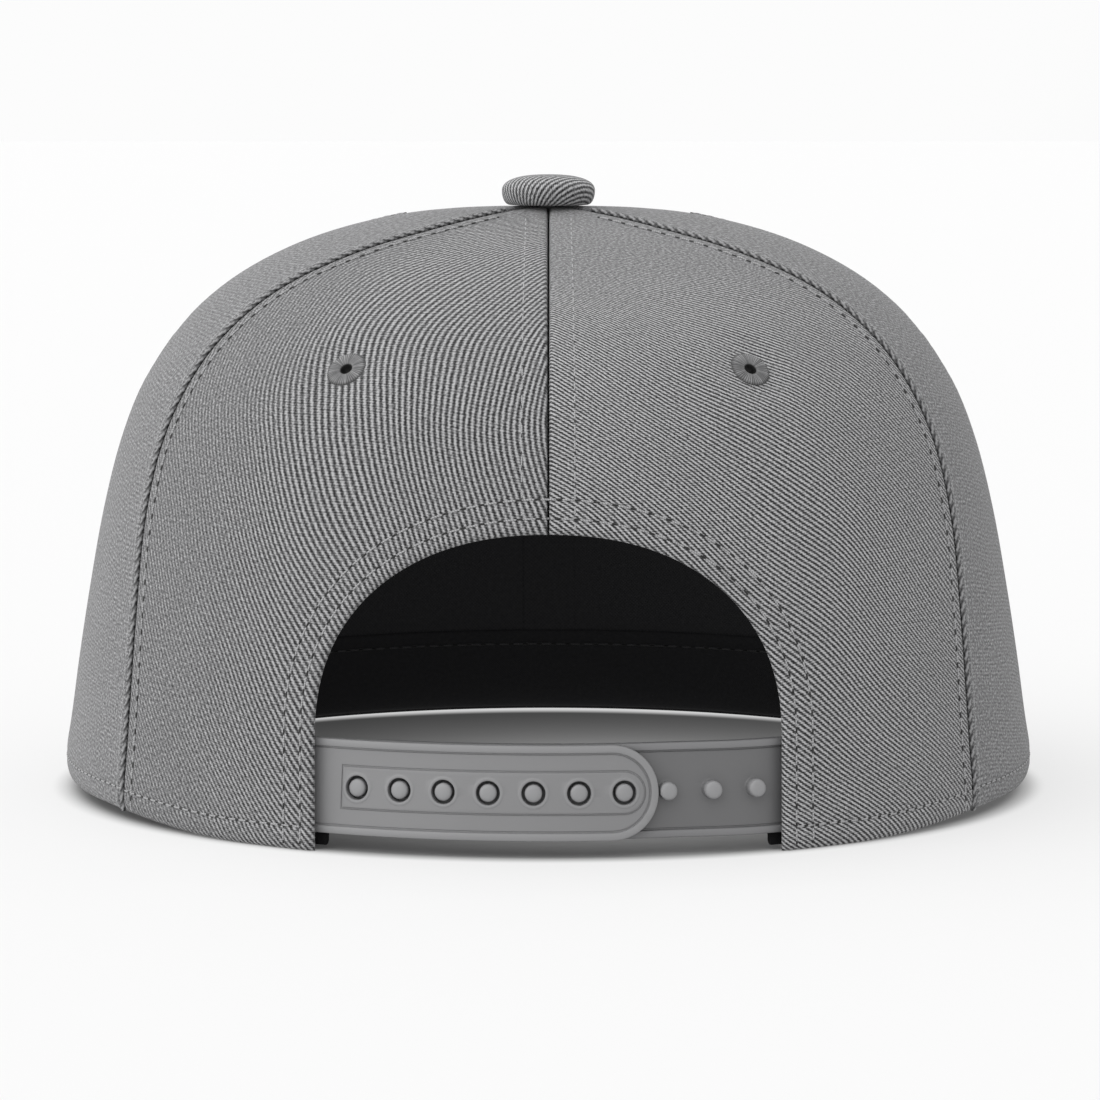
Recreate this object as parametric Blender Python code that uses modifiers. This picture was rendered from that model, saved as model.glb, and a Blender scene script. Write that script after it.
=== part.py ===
"""Six-panel snapback cap, standing on its rim with the visor on the same surface.

Metres, +Z up. The visor points along -Y and the snap straps close the back, at +Y.
The origin is under the middle of the whole cap, at the height of the rim.
An azimuth is measured round the crown from the back, towards the wearer's left, which is +X.
A place is counted in rows of CROWN_SECTIONS, from the rim to the button.
"""

import math

import bmesh
import bpy
from mathutils import Vector

# Driving sizes of the crown
CROWN_HALF_WIDTH = 0.0910
CROWN_BACK_REACH = 0.0925
CROWN_FRONT_REACH = 0.0987
CROWN_HEIGHT = 0.1094
BACK_SEAM_AZIMUTH = math.radians(60.0)
FRONT_SEAM_AZIMUTH = math.radians(121.0)

# The rim rises off the surface a little at the sides, between the back panels and the visor
RIM_LIFT = 0.0020
RIM_LIFT_HEIGHT = 0.0200
RIM_LIFT_START = math.radians(36.0)
RIM_LIFT_FULL = math.radians(64.0)

# Walls and clearances
SIDE_CLOTH = 0.0020
FRONT_CLOTH = 0.0010
LINING_CLOTH = 0.0010
CLEARANCE = 0.0003

# Opening over the straps, seen from behind: legs with a rounded arch on top
OPENING_HALF_WIDTH = 0.0407
OPENING_HEIGHT = 0.0557
OPENING_LEG_HEIGHT = 0.0200
OPENING_ROUNDNESS = 2.2

# Snap straps
STRAP_THICKNESS = 0.0014
STRAP_BOTTOM = 0.0030
STRAP_TOP = 0.0195
STRAP_TAB = 0.0100
HOLE_DIAMETER = 0.0042
HOLE_COUNT = 7
STUD_DIAMETER = 0.0031
STUD_COUNT = 10
STUD_PITCH = 0.0080
STUD_RISE = 0.0006
FIRST_STUD = 0.0346
STRAP_PAST_STUD = 0.0044

# Sweatband
SWEATBAND_THICKNESS = 0.0012
SWEATBAND_HEIGHT = 0.0170
SWEATBAND_FOOT = 0.0006
SWEATBAND_SHOWING = 0.0018

# Visor
VISOR_REACH = 0.0680
VISOR_HALF_WIDTH = 0.0865
VISOR_THICKNESS = 0.0032
VISOR_CAMBER = 0.0030
VISOR_TIP_AZIMUTH = math.radians(117.0)
VISOR_ROUNDNESS = 2.25

# Button, riveted through the middle of the crown
BUTTON_DIAMETER = 0.0176
BUTTON_RISE = 0.0060
BUTTON_SHANK_DIAMETER = 0.0036
BUTTON_WASHER_DIAMETER = 0.0084
BUTTON_WASHER_THICKNESS = 0.0012

# Eyelets, one in each panel
EYELET_DIAMETER = 0.0074
EYELET_BORE = 0.0022
EYELET_BARREL = 0.0042
EYELET_RISE = 0.0006
EYELET_HEIGHT = 0.0831
EYELET_AZIMUTHS = {
    "back": math.radians(30.3),
    "side": math.radians(90.5),
    "front": math.radians(151.0),
}

# How finely the solids are faceted
PANEL_ROWS = 16
PANEL_COLUMNS = 10
LINING_COLUMNS = 18
SWEATBAND_COLUMNS = 50
SWEATBAND_ROWS = 2
VISOR_COLUMNS = 32
VISOR_ROWS = 5
ARCH_COLUMNS = 28
ROUND_SIDES = 14
TURN_STEPS = 20
EYELET_STEPS = 12

# Level sections of the crown, from the rim to the button. Height is a share of CROWN_HEIGHT,
# side, back and front are shares of the crown's three reaches, and seam is a share of
# BACK_SEAM_AZIMUTH: the seam between back and side panel leans a little on its way up.
SECTION_COLUMNS = ("height", "side", "back", "front", "seam")
CROWN_SECTIONS = (
    (0.000, 1.000, 1.000, 1.000, 0.953),
    (0.050, 1.007, 0.994, 0.995, 0.952),
    (0.120, 0.997, 0.987, 0.989, 0.957),
    (0.220, 0.981, 0.978, 0.978, 0.965),
    (0.350, 0.956, 0.962, 0.959, 0.982),
    (0.480, 0.927, 0.934, 0.929, 1.006),
    (0.600, 0.890, 0.890, 0.885, 1.018),
    (0.700, 0.842, 0.825, 0.828, 1.013),
    (0.790, 0.772, 0.722, 0.752, 1.003),
    (0.870, 0.668, 0.560, 0.651, 0.990),
    (0.930, 0.540, 0.370, 0.545, 0.952),
    (0.970, 0.398, 0.200, 0.425, 0.905),
    (0.992, 0.245, 0.085, 0.270, 0.920),
    (1.000, 0.030, 0.030, 0.030, 0.960),
)
TOP_PLACE = len(CROWN_SECTIONS) - 1

# Colours of the cloth and plastic, as linear values
CLOTH_GREY = (0.230, 0.230, 0.233)
STRAP_GREY = (0.205, 0.205, 0.208)
BLACK_TAPE = (0.006, 0.006, 0.006)


def smooth_step(value, start, end):
    """0 before start, 1 after end, and an easy curve between them."""
    share = min(max((value - start) / (end - start), 0.0), 1.0)
    return share * share * (3.0 - 2.0 * share)


def section(column, place):
    """A column of CROWN_SECTIONS at any place, on a smooth curve through its rows."""
    index = SECTION_COLUMNS.index(column)
    row = min(max(int(place), 0), TOP_PLACE - 1)
    part = place - row
    here = CROWN_SECTIONS[row][index]
    after = CROWN_SECTIONS[row + 1][index]
    before = CROWN_SECTIONS[row - 1][index] if row > 0 else 2 * here - after
    beyond = CROWN_SECTIONS[row + 2][index] if row + 2 <= TOP_PLACE else 2 * after - here
    slope = after - before
    bend = 2 * before - 5 * here + 4 * after - beyond
    twist = 3 * (here - after) + beyond - before
    return here + 0.5 * part * (slope + part * (bend + part * twist))


def place_at(height):
    """The place at which the crown reaches a height."""
    low, high = 0.0, float(TOP_PLACE)
    for _ in range(40):
        middle = 0.5 * (low + high)
        if section("height", middle) * CROWN_HEIGHT < height:
            low = middle
        else:
            high = middle
    return 0.5 * (low + high)


def crown_reach(azimuth, place):
    """Distance from the crown's upright axis to its outer face."""
    side = section("side", place) * CROWN_HALF_WIDTH
    if math.cos(azimuth) > 0.0:
        end = section("back", place) * CROWN_BACK_REACH
    else:
        end = section("front", place) * CROWN_FRONT_REACH
    return side * end / math.hypot(end * math.sin(azimuth), side * math.cos(azimuth))


def lifted(height, azimuth):
    """A height on the crown, with the rise of the rim at the sides, which fades out above it."""
    from_back = math.acos(math.cos(azimuth))
    rise = smooth_step(from_back, RIM_LIFT_START, RIM_LIFT_FULL)
    rise *= 1.0 - smooth_step(from_back, 0.5 * math.pi, VISOR_TIP_AZIMUTH)
    return height + RIM_LIFT * rise * (1.0 - smooth_step(height, 0.0, RIM_LIFT_HEIGHT))


def outer_face(azimuth, place):
    """A point on the crown's outer face."""
    reach = crown_reach(azimuth, place)
    height = lifted(section("height", place) * CROWN_HEIGHT, azimuth)
    return Vector((reach * math.sin(azimuth), reach * math.cos(azimuth), height))


def outward(azimuth, place):
    """The direction square to the crown's outer face."""
    turn, climb = 0.002, 0.01
    low, high = max(place - climb, 0.0), min(place + climb, TOP_PLACE)
    across = outer_face(azimuth + turn, place) - outer_face(azimuth - turn, place)
    up = outer_face(azimuth, high) - outer_face(azimuth, low)
    return up.cross(across).normalized()


def crown_point(azimuth, place, depth=0.0):
    """A point of the crown, a depth inside its outer face. The rim's edge is level across the wall."""
    outer = outer_face(azimuth, place)
    point = outer - outward(azimuth, place) * depth
    if place <= 0.0:
        point.z = outer.z
    return point


def azimuth_at(x, depth=0.0):
    """The azimuth at which the rim, a depth inside, is a distance x from the middle of the back."""
    azimuth = math.asin(x / CROWN_BACK_REACH)
    for _ in range(8):
        azimuth = math.asin(x / (crown_reach(azimuth, 0.0) - depth))
    return azimuth


def seam_azimuth(seam, place):
    """Azimuth of a seam on the wearer's left: 0 centre back, 1 back to side, 2 side to front, 3 front."""
    if seam == 1:
        return BACK_SEAM_AZIMUTH * section("seam", place)
    return (0.0, None, FRONT_SEAM_AZIMUTH, math.pi)[seam]


def make_material(name, colour, roughness, metallic=0.0):
    """A plain Principled material."""
    material = bpy.data.materials.new(name)
    material.use_nodes = True
    shader = material.node_tree.nodes["Principled BSDF"]
    shader.inputs["Base Color"].default_value = (*colour, 1.0)
    shader.inputs["Roughness"].default_value = roughness
    shader.inputs["Metallic"].default_value = metallic
    material.diffuse_color = (*colour, 1.0)
    return material


def add_object(name, mesh, collection, material=None):
    """Put a mesh into the scene as an object of its own."""
    thing = bpy.data.objects.new(name, mesh)
    collection.objects.link(thing)
    if material is not None:
        mesh.materials.append(material)
    return thing


def thick_sheet(name, columns, rows, face, collection, material=None):
    """A closed wall from a grid: face(across, up, side) gives a point, with side 0 outside and 1 inside."""
    shape = bmesh.new()
    bmesh.ops.create_grid(shape, x_segments=columns, y_segments=rows, size=0.5)
    bmesh.ops.extrude_face_region(shape, geom=shape.faces[:], use_keep_orig=True)
    shape.verts.index_update()
    half = len(shape.verts) // 2
    for vertex in shape.verts:
        side = 0 if vertex.index < half else 1
        vertex.co = face(vertex.co.x + 0.5, vertex.co.y + 0.5, side)
    bmesh.ops.recalc_face_normals(shape, faces=shape.faces[:])
    if shape.calc_volume(signed=True) < 0.0:
        bmesh.ops.reverse_faces(shape, faces=shape.faces[:])
    mesh = bpy.data.meshes.new(name)
    shape.to_mesh(mesh)
    shape.free()
    mesh.shade_smooth()
    mesh.set_sharp_from_angle(angle=math.radians(40.0))
    return add_object(name, mesh, collection, material)


def turned(name, profile, closed, steps, collection, material=None):
    """A turned solid: a profile of (radius, height) points, top first, swept by a Screw modifier."""
    shape = bmesh.new()
    points = [shape.verts.new((radius, 0.0, height)) for radius, height in profile]
    for start, end in zip(points, points[1:]):
        shape.edges.new((start, end))
    if closed:
        shape.edges.new((points[-1], points[0]))
    mesh = bpy.data.meshes.new(name)
    shape.to_mesh(mesh)
    shape.free()
    thing = add_object(name, mesh, collection, material)
    screw = thing.modifiers.new("turn", "SCREW")
    screw.steps = steps
    screw.render_steps = steps
    screw.use_merge_vertices = True
    screw.merge_threshold = 0.00005
    screw.use_smooth_shade = True
    return thing


def cut(thing, cutter, operation="DIFFERENCE"):
    """Cut a thing with another solid, or join them."""
    modifier = thing.modifiers.new(operation.lower() + "_" + cutter.name, "BOOLEAN")
    modifier.operation = operation
    modifier.object = cutter
    modifier.solver = "EXACT"


def hide_cutter(thing):
    """A cutter isn't part of the cap."""
    thing.hide_render = True
    thing.display_type = "WIRE"


def stand_on(thing, point, direction):
    """Turn a thing's own Z axis to a direction and move it to a point."""
    thing.rotation_mode = "QUATERNION"
    thing.rotation_quaternion = direction.to_track_quat("Z", "Y")
    thing.location = point


def round_cutter(name, diameter, length, point, direction, sides, cutters):
    """A round bar, centred on a point, that cuts a hole."""
    shape = bmesh.new()
    bmesh.ops.create_cone(
        shape, cap_ends=True, segments=sides,
        radius1=0.5 * diameter, radius2=0.5 * diameter, depth=length,
    )
    mesh = bpy.data.meshes.new(name)
    shape.to_mesh(mesh)
    shape.free()
    bar = add_object(name, mesh, cutters)
    stand_on(bar, point, direction)
    hide_cutter(bar)
    return bar


def make_panel(name, seam, mirror, cloth, collection, material):
    """A gore of the crown between two seams. mirror is 1 on the wearer's left and -1 on the right."""
    def face(across, up, side):
        place = up * TOP_PLACE
        start = seam_azimuth(seam, place)
        end = seam_azimuth(seam + 1, place)
        margin = 0.5 * CLEARANCE / crown_reach(0.5 * (start + end), place)
        azimuth = start + margin + across * (end - start - 2.0 * margin)
        point = crown_point(azimuth, place, side * cloth)
        point.x *= mirror
        return point

    return thick_sheet(name, PANEL_COLUMNS, PANEL_ROWS, face, collection, material)


def make_lining(name, collection, material):
    """The black cloth behind the two front panels."""
    def face(across, up, side):
        place = up * TOP_PLACE
        reach = crown_reach(FRONT_SEAM_AZIMUTH, place)
        start = FRONT_SEAM_AZIMUTH + 0.5 * CLEARANCE / reach
        azimuth = start + across * 2.0 * (math.pi - start)
        return crown_point(azimuth, place, FRONT_CLOTH + CLEARANCE + side * LINING_CLOTH)

    return thick_sheet(name, LINING_COLUMNS, PANEL_ROWS, face, collection, material)


def make_opening_cutter(name, cutters):
    """The opening over the straps, as a solid that runs straight through the back of the crown."""
    below = 0.010
    near, far = 0.45 * CROWN_BACK_REACH, 1.30 * CROWN_BACK_REACH

    def face(across, up, side):
        turn = math.pi * (1.0 - across)
        share = 2.0 / OPENING_ROUNDNESS
        x = OPENING_HALF_WIDTH * math.copysign(abs(math.cos(turn)) ** share, math.cos(turn))
        arch = (OPENING_HEIGHT - OPENING_LEG_HEIGHT) * abs(math.sin(turn)) ** share
        top = OPENING_LEG_HEIGHT + arch
        return Vector((x, far if side else near, -below + up * (top + below)))

    cutter = thick_sheet(name, ARCH_COLUMNS, 1, face, cutters)
    hide_cutter(cutter)
    return cutter


def strap_radius():
    """Radius of the arc that the straps follow."""
    return CROWN_BACK_REACH - SIDE_CLOTH - CLEARANCE


def strap_point(along, height, depth):
    """A point of a strap: its length along the back, its height and its depth inside the crown."""
    place = place_at(max(height, 0.0))
    azimuth = along / strap_radius()
    level = Vector((math.sin(azimuth), math.cos(azimuth), 0.0))
    point = level * (crown_reach(azimuth, place) - depth)
    point.z = height
    return point


def strap_outward(along, depth_at):
    """The level direction square to a strap's outer face."""
    middle = 0.5 * (STRAP_TOP + STRAP_BOTTOM)
    step = 0.0005
    ahead = strap_point(along + step, middle, depth_at(along + step))
    behind = strap_point(along - step, middle, depth_at(along - step))
    run = (ahead - behind).normalized()
    return Vector((0.0, 0.0, 1.0)).cross(run).normalized() * -1.0


def stud_places():
    """Lengths along the straps of every stud, from the one nearest the wearer's left."""
    return [FIRST_STUD - STUD_PITCH * index for index in range(STUD_COUNT)]


def hole_strap_tip():
    """The outer strap ends just short of the first stud that it leaves free."""
    return FIRST_STUD - STUD_PITCH * HOLE_COUNT + 0.5 * STUD_DIAMETER + CLEARANCE


def hole_strap_depth(along):
    """The strap with the holes lies against the inside of the back panels."""
    return SIDE_CLOTH + CLEARANCE


def stud_strap_depth(along):
    """The strap with the studs starts as deep, then passes under the other one."""
    under = hole_strap_depth(along) + STRAP_THICKNESS + CLEARANCE
    leg = azimuth_at(OPENING_HALF_WIDTH, SIDE_CLOTH) * strap_radius()
    passed = smooth_step(along, -0.95 * leg, hole_strap_tip() - CLEARANCE)
    return hole_strap_depth(along) + passed * (under - hole_strap_depth(along))


def make_strap(name, root, tip, depth_at, columns, collection, material):
    """A flat strap from its sewn root to its round tip."""
    radius = 0.5 * (STRAP_TOP - STRAP_BOTTOM)
    middle = 0.5 * (STRAP_TOP + STRAP_BOTTOM)
    way = math.copysign(1.0, tip - root)
    centre = tip - way * radius
    tip_columns = 6
    last_angle = math.radians(9.0)

    def face(across, up, side):
        column = round(across * (columns + tip_columns))
        if column <= columns:
            along = root + (centre - root) * column / columns
            half = radius
        else:
            share = (column - columns) / tip_columns
            angle = math.pi / 2 + (last_angle - math.pi / 2) * share
            along = centre + way * radius * math.cos(angle)
            half = radius * math.sin(angle)
        height = middle + (2.0 * up - 1.0) * half
        return strap_point(along, height, depth_at(along) + side * STRAP_THICKNESS)

    return thick_sheet(name, columns + tip_columns, 2, face, collection, material)


def make_hole_strap(name, collection, cutters, material):
    """The outer strap, sewn in on the wearer's left, with its row of holes."""
    leg = azimuth_at(OPENING_HALF_WIDTH, SIDE_CLOTH) * strap_radius()
    strap = make_strap(name, leg + STRAP_TAB, hole_strap_tip(), hole_strap_depth, 16, collection, material)
    middle = 0.5 * (STRAP_TOP + STRAP_BOTTOM)
    for index, along in enumerate(stud_places()[:HOLE_COUNT]):
        point = strap_point(along, middle, hole_strap_depth(along) + 0.5 * STRAP_THICKNESS)
        bar = round_cutter(
            "hole_%d" % index, HOLE_DIAMETER, 4.0 * STRAP_THICKNESS, point,
            strap_outward(along, hole_strap_depth), ROUND_SIDES, cutters,
        )
        cut(strap, bar)
    return strap


def make_stud(name, along, collection):
    """A domed stud, moulded on the inner strap, that reaches through a hole of the outer one."""
    middle = 0.5 * (STRAP_TOP + STRAP_BOTTOM)
    radius = 0.5 * STUD_DIAMETER
    height = CLEARANCE + STRAP_THICKNESS + STUD_RISE
    root = 0.5 * STRAP_THICKNESS
    profile = (
        (0.0, height),
        (0.60 * radius, height - 0.10 * radius),
        (0.92 * radius, height - 0.42 * radius),
        (radius, height - 0.80 * radius),
        (radius, -root),
        (0.0, -root),
    )
    stud = turned(name, profile, False, ROUND_SIDES, collection)
    point = strap_point(along, middle, stud_strap_depth(along))
    stand_on(stud, point, strap_outward(along, stud_strap_depth))
    hide_cutter(stud)
    return stud


def make_stud_strap(name, collection, cutters, material):
    """The inner strap, sewn in on the wearer's right, with its row of studs."""
    leg = azimuth_at(OPENING_HALF_WIDTH, SIDE_CLOTH) * strap_radius()
    tip = FIRST_STUD + STRAP_PAST_STUD
    strap = make_strap(name, -leg - STRAP_TAB, tip, stud_strap_depth, 22, collection, material)
    for index, along in enumerate(stud_places()):
        cut(strap, make_stud("stud_%d" % index, along, cutters), "UNION")
    return strap


def sweatband_depth(azimuth):
    """Depth of the sweatband's outer face, which makes room for the strap roots beside the opening."""
    plain = FRONT_CLOTH + LINING_CLOTH + 2.0 * CLEARANCE
    plain = max(plain, SIDE_CLOTH + CLEARANCE)
    over_strap = SIDE_CLOTH + STRAP_THICKNESS + 2.0 * CLEARANCE
    from_back = min(azimuth, 2.0 * math.pi - azimuth) * strap_radius()
    leg = azimuth_at(OPENING_HALF_WIDTH, SIDE_CLOTH) * strap_radius()
    root = leg + STRAP_TAB
    past = smooth_step(from_back, root + STRAP_THICKNESS, root + 2.0 * STRAP_TAB)
    return over_strap + past * (plain - over_strap)


def make_sweatband(name, collection, material):
    """The black band inside the rim, from one leg of the opening round the front to the other."""
    showing = OPENING_HALF_WIDTH - SWEATBAND_SHOWING
    start = azimuth_at(showing, SIDE_CLOTH + STRAP_THICKNESS + 2.0 * CLEARANCE)

    def face(across, up, side):
        azimuth = start + across * 2.0 * (math.pi - start)
        height = SWEATBAND_FOOT + up * (SWEATBAND_HEIGHT - SWEATBAND_FOOT)
        place = place_at(height)
        depth = sweatband_depth(azimuth) + side * SWEATBAND_THICKNESS
        level = Vector((math.sin(azimuth), math.cos(azimuth), 0.0))
        point = level * (crown_reach(azimuth, place) - depth)
        point.z = lifted(height, azimuth)
        return point

    return thick_sheet(name, SWEATBAND_COLUMNS, SWEATBAND_ROWS, face, collection, material)


def visor_outline(share):
    """Inner and outer edge of the visor, with share -1 at the wearer's right tip and 1 at the left."""
    azimuth = math.pi - share * (math.pi - VISOR_TIP_AZIMUTH)
    tip = outer_face(VISOR_TIP_AZIMUTH, 0.0)
    turn = 0.5 * math.pi * share
    power = 2.0 / VISOR_ROUNDNESS
    length = CROWN_FRONT_REACH + VISOR_REACH + tip.y
    outer = Vector((
        VISOR_HALF_WIDTH * math.copysign(abs(math.sin(turn)) ** power, share),
        tip.y - length * abs(math.cos(turn)) ** power,
        0.0,
    ))
    inner = outer_face(azimuth, 0.0)
    inner += Vector((inner.x, inner.y, 0.0)).normalized() * CLEARANCE
    outer = outer.lerp(inner, 0.9 * smooth_step(abs(share), 0.70, 1.00))
    return inner, outer


def make_visor(name, collection, material):
    """The stiff flat visor, which meets the crown's rim in front."""
    def face(across, up, side):
        inner, outer = visor_outline(2.0 * across - 1.0)
        point = inner.lerp(outer, up)
        arch = VISOR_CAMBER * (1.0 - (point.x / VISOR_HALF_WIDTH) ** 2)
        point.z = arch + (0.0 if side else VISOR_THICKNESS)
        return point

    visor = thick_sheet(name, VISOR_COLUMNS, VISOR_ROWS, face, collection, material)
    return visor


def make_button(name, collection, material):
    """The covered button on top, with its shank through the crown and its washer inside."""
    radius = 0.5 * BUTTON_DIAMETER
    shank = 0.5 * BUTTON_SHANK_DIAMETER
    washer = 0.5 * BUTTON_WASHER_DIAMETER
    seat = CROWN_HEIGHT + CLEARANCE
    crest = CROWN_HEIGHT + BUTTON_RISE
    belly = seat + 0.40 * (crest - seat)
    inside = CROWN_HEIGHT - max(SIDE_CLOTH, FRONT_CLOTH + CLEARANCE + LINING_CLOTH) - 3.0 * CLEARANCE
    profile = [(0.0, crest)]
    for step in range(1, 7):
        angle = math.radians(15.0 * step)
        profile.append((radius * math.sin(angle) ** 0.8, belly + (crest - belly) * math.cos(angle) ** 0.8))
    profile += [
        (0.97 * radius, 0.6 * belly + 0.4 * seat),
        (0.86 * radius, seat),
        (shank, seat),
        (shank, inside),
        (washer, inside),
        (washer, inside - 0.6 * BUTTON_WASHER_THICKNESS),
        (0.8 * washer, inside - BUTTON_WASHER_THICKNESS),
        (0.0, inside - BUTTON_WASHER_THICKNESS),
    ]
    return turned(name, profile, False, TURN_STEPS, collection, material)


def make_eyelet(name, azimuth, mirror, wall, collection, material):
    """A stitched eyelet: a ring on each face of the panel and a barrel between them."""
    ring = 0.5 * EYELET_DIAMETER
    bore = 0.5 * EYELET_BORE
    barrel = 0.5 * EYELET_BARREL
    back = wall + 2.0 * CLEARANCE
    profile = (
        (bore, CLEARANCE + 0.6 * EYELET_RISE),
        (0.5 * (bore + ring), CLEARANCE + EYELET_RISE),
        (0.92 * ring, CLEARANCE + 0.7 * EYELET_RISE),
        (ring, CLEARANCE),
        (barrel, CLEARANCE),
        (barrel, -back),
        (0.9 * ring, -back),
        (0.8 * ring, -back - EYELET_RISE),
        (bore, -back - EYELET_RISE),
    )
    eyelet = turned(name, profile, True, EYELET_STEPS, collection, material)
    point, direction = eyelet_seat(azimuth, mirror)
    stand_on(eyelet, point, direction)
    return eyelet


def eyelet_seat(azimuth, mirror):
    """Where an eyelet sits on the crown's outer face, and the way it faces."""
    place = place_at(EYELET_HEIGHT)
    point = outer_face(azimuth, place)
    direction = outward(azimuth, place)
    point.x *= mirror
    direction.x *= mirror
    return point, direction


def centre_on_origin(parts, frame):
    """Move the cap so that the middle of its box is over the origin."""
    bpy.context.view_layer.update()
    graph = bpy.context.evaluated_depsgraph_get()
    ends = []
    for part in parts:
        shown = part.evaluated_get(graph)
        mesh = shown.to_mesh()
        ends += [(shown.matrix_world @ vertex.co).y for vertex in mesh.vertices]
        shown.to_mesh_clear()
    frame.location.y = -0.5 * (min(ends) + max(ends))


def main():
    for thing in list(bpy.data.objects):
        bpy.data.objects.remove(thing, do_unlink=True)
    scene = bpy.context.scene
    cap = bpy.data.collections.new("snapback_cap")
    cutters = bpy.data.collections.new("cutters")
    scene.collection.children.link(cap)
    scene.collection.children.link(cutters)

    opening = make_opening_cutter("opening_cutter", cutters)
    parts = []
    kinds = (("back", 0, SIDE_CLOTH), ("side", 1, SIDE_CLOTH), ("front", 2, FRONT_CLOTH))
    lining = make_lining("front_lining", cap, make_material("black_lining_cloth", BLACK_TAPE, 0.95))
    parts.append(lining)
    for kind, seam, cloth in kinds:
        for word, mirror in (("left", 1.0), ("right", -1.0)):
            name = "%s_panel_%s" % (kind, word)
            twill = make_material("twill_" + name, CLOTH_GREY, 0.9)
            panel = make_panel(name, seam, mirror, cloth, cap, twill)
            if kind == "back":
                cut(panel, opening)
            azimuth = EYELET_AZIMUTHS[kind]
            point, direction = eyelet_seat(azimuth, mirror)
            bar = round_cutter(
                "eyelet_hole_%s_%s" % (kind, word), EYELET_BARREL + 2.0 * CLEARANCE, 0.012,
                point, direction, ROUND_SIDES, cutters,
            )
            cut(panel, bar)
            wall = cloth
            if kind == "front":
                cut(lining, bar)
                wall = FRONT_CLOTH + CLEARANCE + LINING_CLOTH
            thread = make_material("thread_%s_%s" % (kind, word), CLOTH_GREY, 0.8)
            eyelet = make_eyelet("eyelet_%s_%s" % (kind, word), azimuth, mirror, wall, cap, thread)
            parts += [panel, eyelet]

    parts.append(make_sweatband("sweatband", cap, make_material("black_sweatband_tape", BLACK_TAPE, 0.95)))
    parts.append(make_visor("visor", cap, make_material("twill_visor", CLOTH_GREY, 0.9)))
    parts.append(make_button("top_button", cap, make_material("twill_button", CLOTH_GREY, 0.9)))
    snap = make_material("grey_moulded_strap", STRAP_GREY, 0.45)
    parts.append(make_hole_strap("snap_strap_with_holes", cap, cutters, snap))
    pin = make_material("grey_moulded_stud_strap", STRAP_GREY, 0.45)
    parts.append(make_stud_strap("snap_strap_with_studs", cap, cutters, pin))

    frame = bpy.data.objects.new("cap_frame", None)
    cap.objects.link(frame)
    for part in parts:
        part.parent = frame
    for cutter in cutters.objects:
        cutter.parent = frame
    centre_on_origin(parts, frame)


main()
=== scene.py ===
# %% [markdown]
# # A grey snapback cap, dressed around its frame
#
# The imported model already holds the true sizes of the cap: six panels, a visor, a button,
# two snap straps. This lesson gives each of them the surface of the real one. The cloth is
# a cotton twill, so most of the work is in seams, hems, rows of stitches and the ribs of
# the weave. We start by loading the frame, because every piece takes its place from it.

import math

import bmesh
import bpy
import numpy as np
from mathutils import Matrix, Vector


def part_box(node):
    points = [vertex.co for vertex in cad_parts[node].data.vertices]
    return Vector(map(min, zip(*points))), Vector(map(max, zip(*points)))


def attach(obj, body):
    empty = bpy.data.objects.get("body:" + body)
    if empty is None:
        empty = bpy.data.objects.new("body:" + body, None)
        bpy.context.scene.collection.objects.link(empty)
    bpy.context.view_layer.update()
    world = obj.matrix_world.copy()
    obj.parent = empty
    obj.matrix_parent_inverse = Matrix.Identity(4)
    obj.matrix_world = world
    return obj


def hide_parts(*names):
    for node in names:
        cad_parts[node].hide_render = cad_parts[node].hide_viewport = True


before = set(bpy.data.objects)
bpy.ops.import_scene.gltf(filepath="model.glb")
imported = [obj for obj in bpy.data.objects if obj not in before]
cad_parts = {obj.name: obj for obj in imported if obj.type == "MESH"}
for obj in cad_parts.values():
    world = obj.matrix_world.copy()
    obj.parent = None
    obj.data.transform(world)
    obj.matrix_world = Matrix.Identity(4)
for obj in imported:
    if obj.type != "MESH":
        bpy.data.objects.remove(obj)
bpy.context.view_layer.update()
MM = 0.001
LEFT_AND_RIGHT = (("left", 1.0), ("right", -1.0))


# %% [markdown]
# ## The shape of the crown
#
# On the real cap six flat gores are sewn together and pressed over a block, and the block
# gives the shape. We could copy the frame's own mesh, but it is faceted. So the block is
# written down once, as level sections: a share of the height, and shares of the reach to
# the side, to the back and to the front. A smooth curve through the rows gives any height.

# %% Sections of the crown
SECTION_COLUMNS = ("height", "side", "back", "front", "seam")
CROWN_SECTIONS = (
    (0.000, 1.000, 1.000, 1.000, 0.953),
    (0.050, 1.007, 0.994, 0.995, 0.952),
    (0.120, 0.997, 0.987, 0.989, 0.957),
    (0.220, 0.981, 0.978, 0.978, 0.965),
    (0.350, 0.956, 0.962, 0.959, 0.982),
    (0.480, 0.927, 0.934, 0.929, 1.006),
    (0.600, 0.890, 0.890, 0.885, 1.018),
    (0.700, 0.842, 0.825, 0.828, 1.013),
    (0.790, 0.772, 0.722, 0.752, 1.003),
    (0.870, 0.668, 0.560, 0.651, 0.990),
    (0.930, 0.540, 0.370, 0.545, 0.952),
    (0.970, 0.398, 0.200, 0.425, 0.905),
    (0.992, 0.245, 0.085, 0.270, 0.920),
    (1.000, 0.030, 0.030, 0.030, 0.960),
)
TOP_PLACE = len(CROWN_SECTIONS) - 1
BACK_SEAM_AZIMUTH = math.radians(60.0)
FRONT_SEAM_AZIMUTH = math.radians(121.0)
CLEARANCE = 0.3 * MM

# The crown's upright axis runs through the button, and the reaches come from the frame
button_low, button_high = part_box("top_button")
AXIS_Y = 0.5 * (button_low.y + button_high.y)
print("axis at y = %.2f mm" % (AXIS_Y / MM))


STRAP_DEPTH = 2.3 * MM
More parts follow.
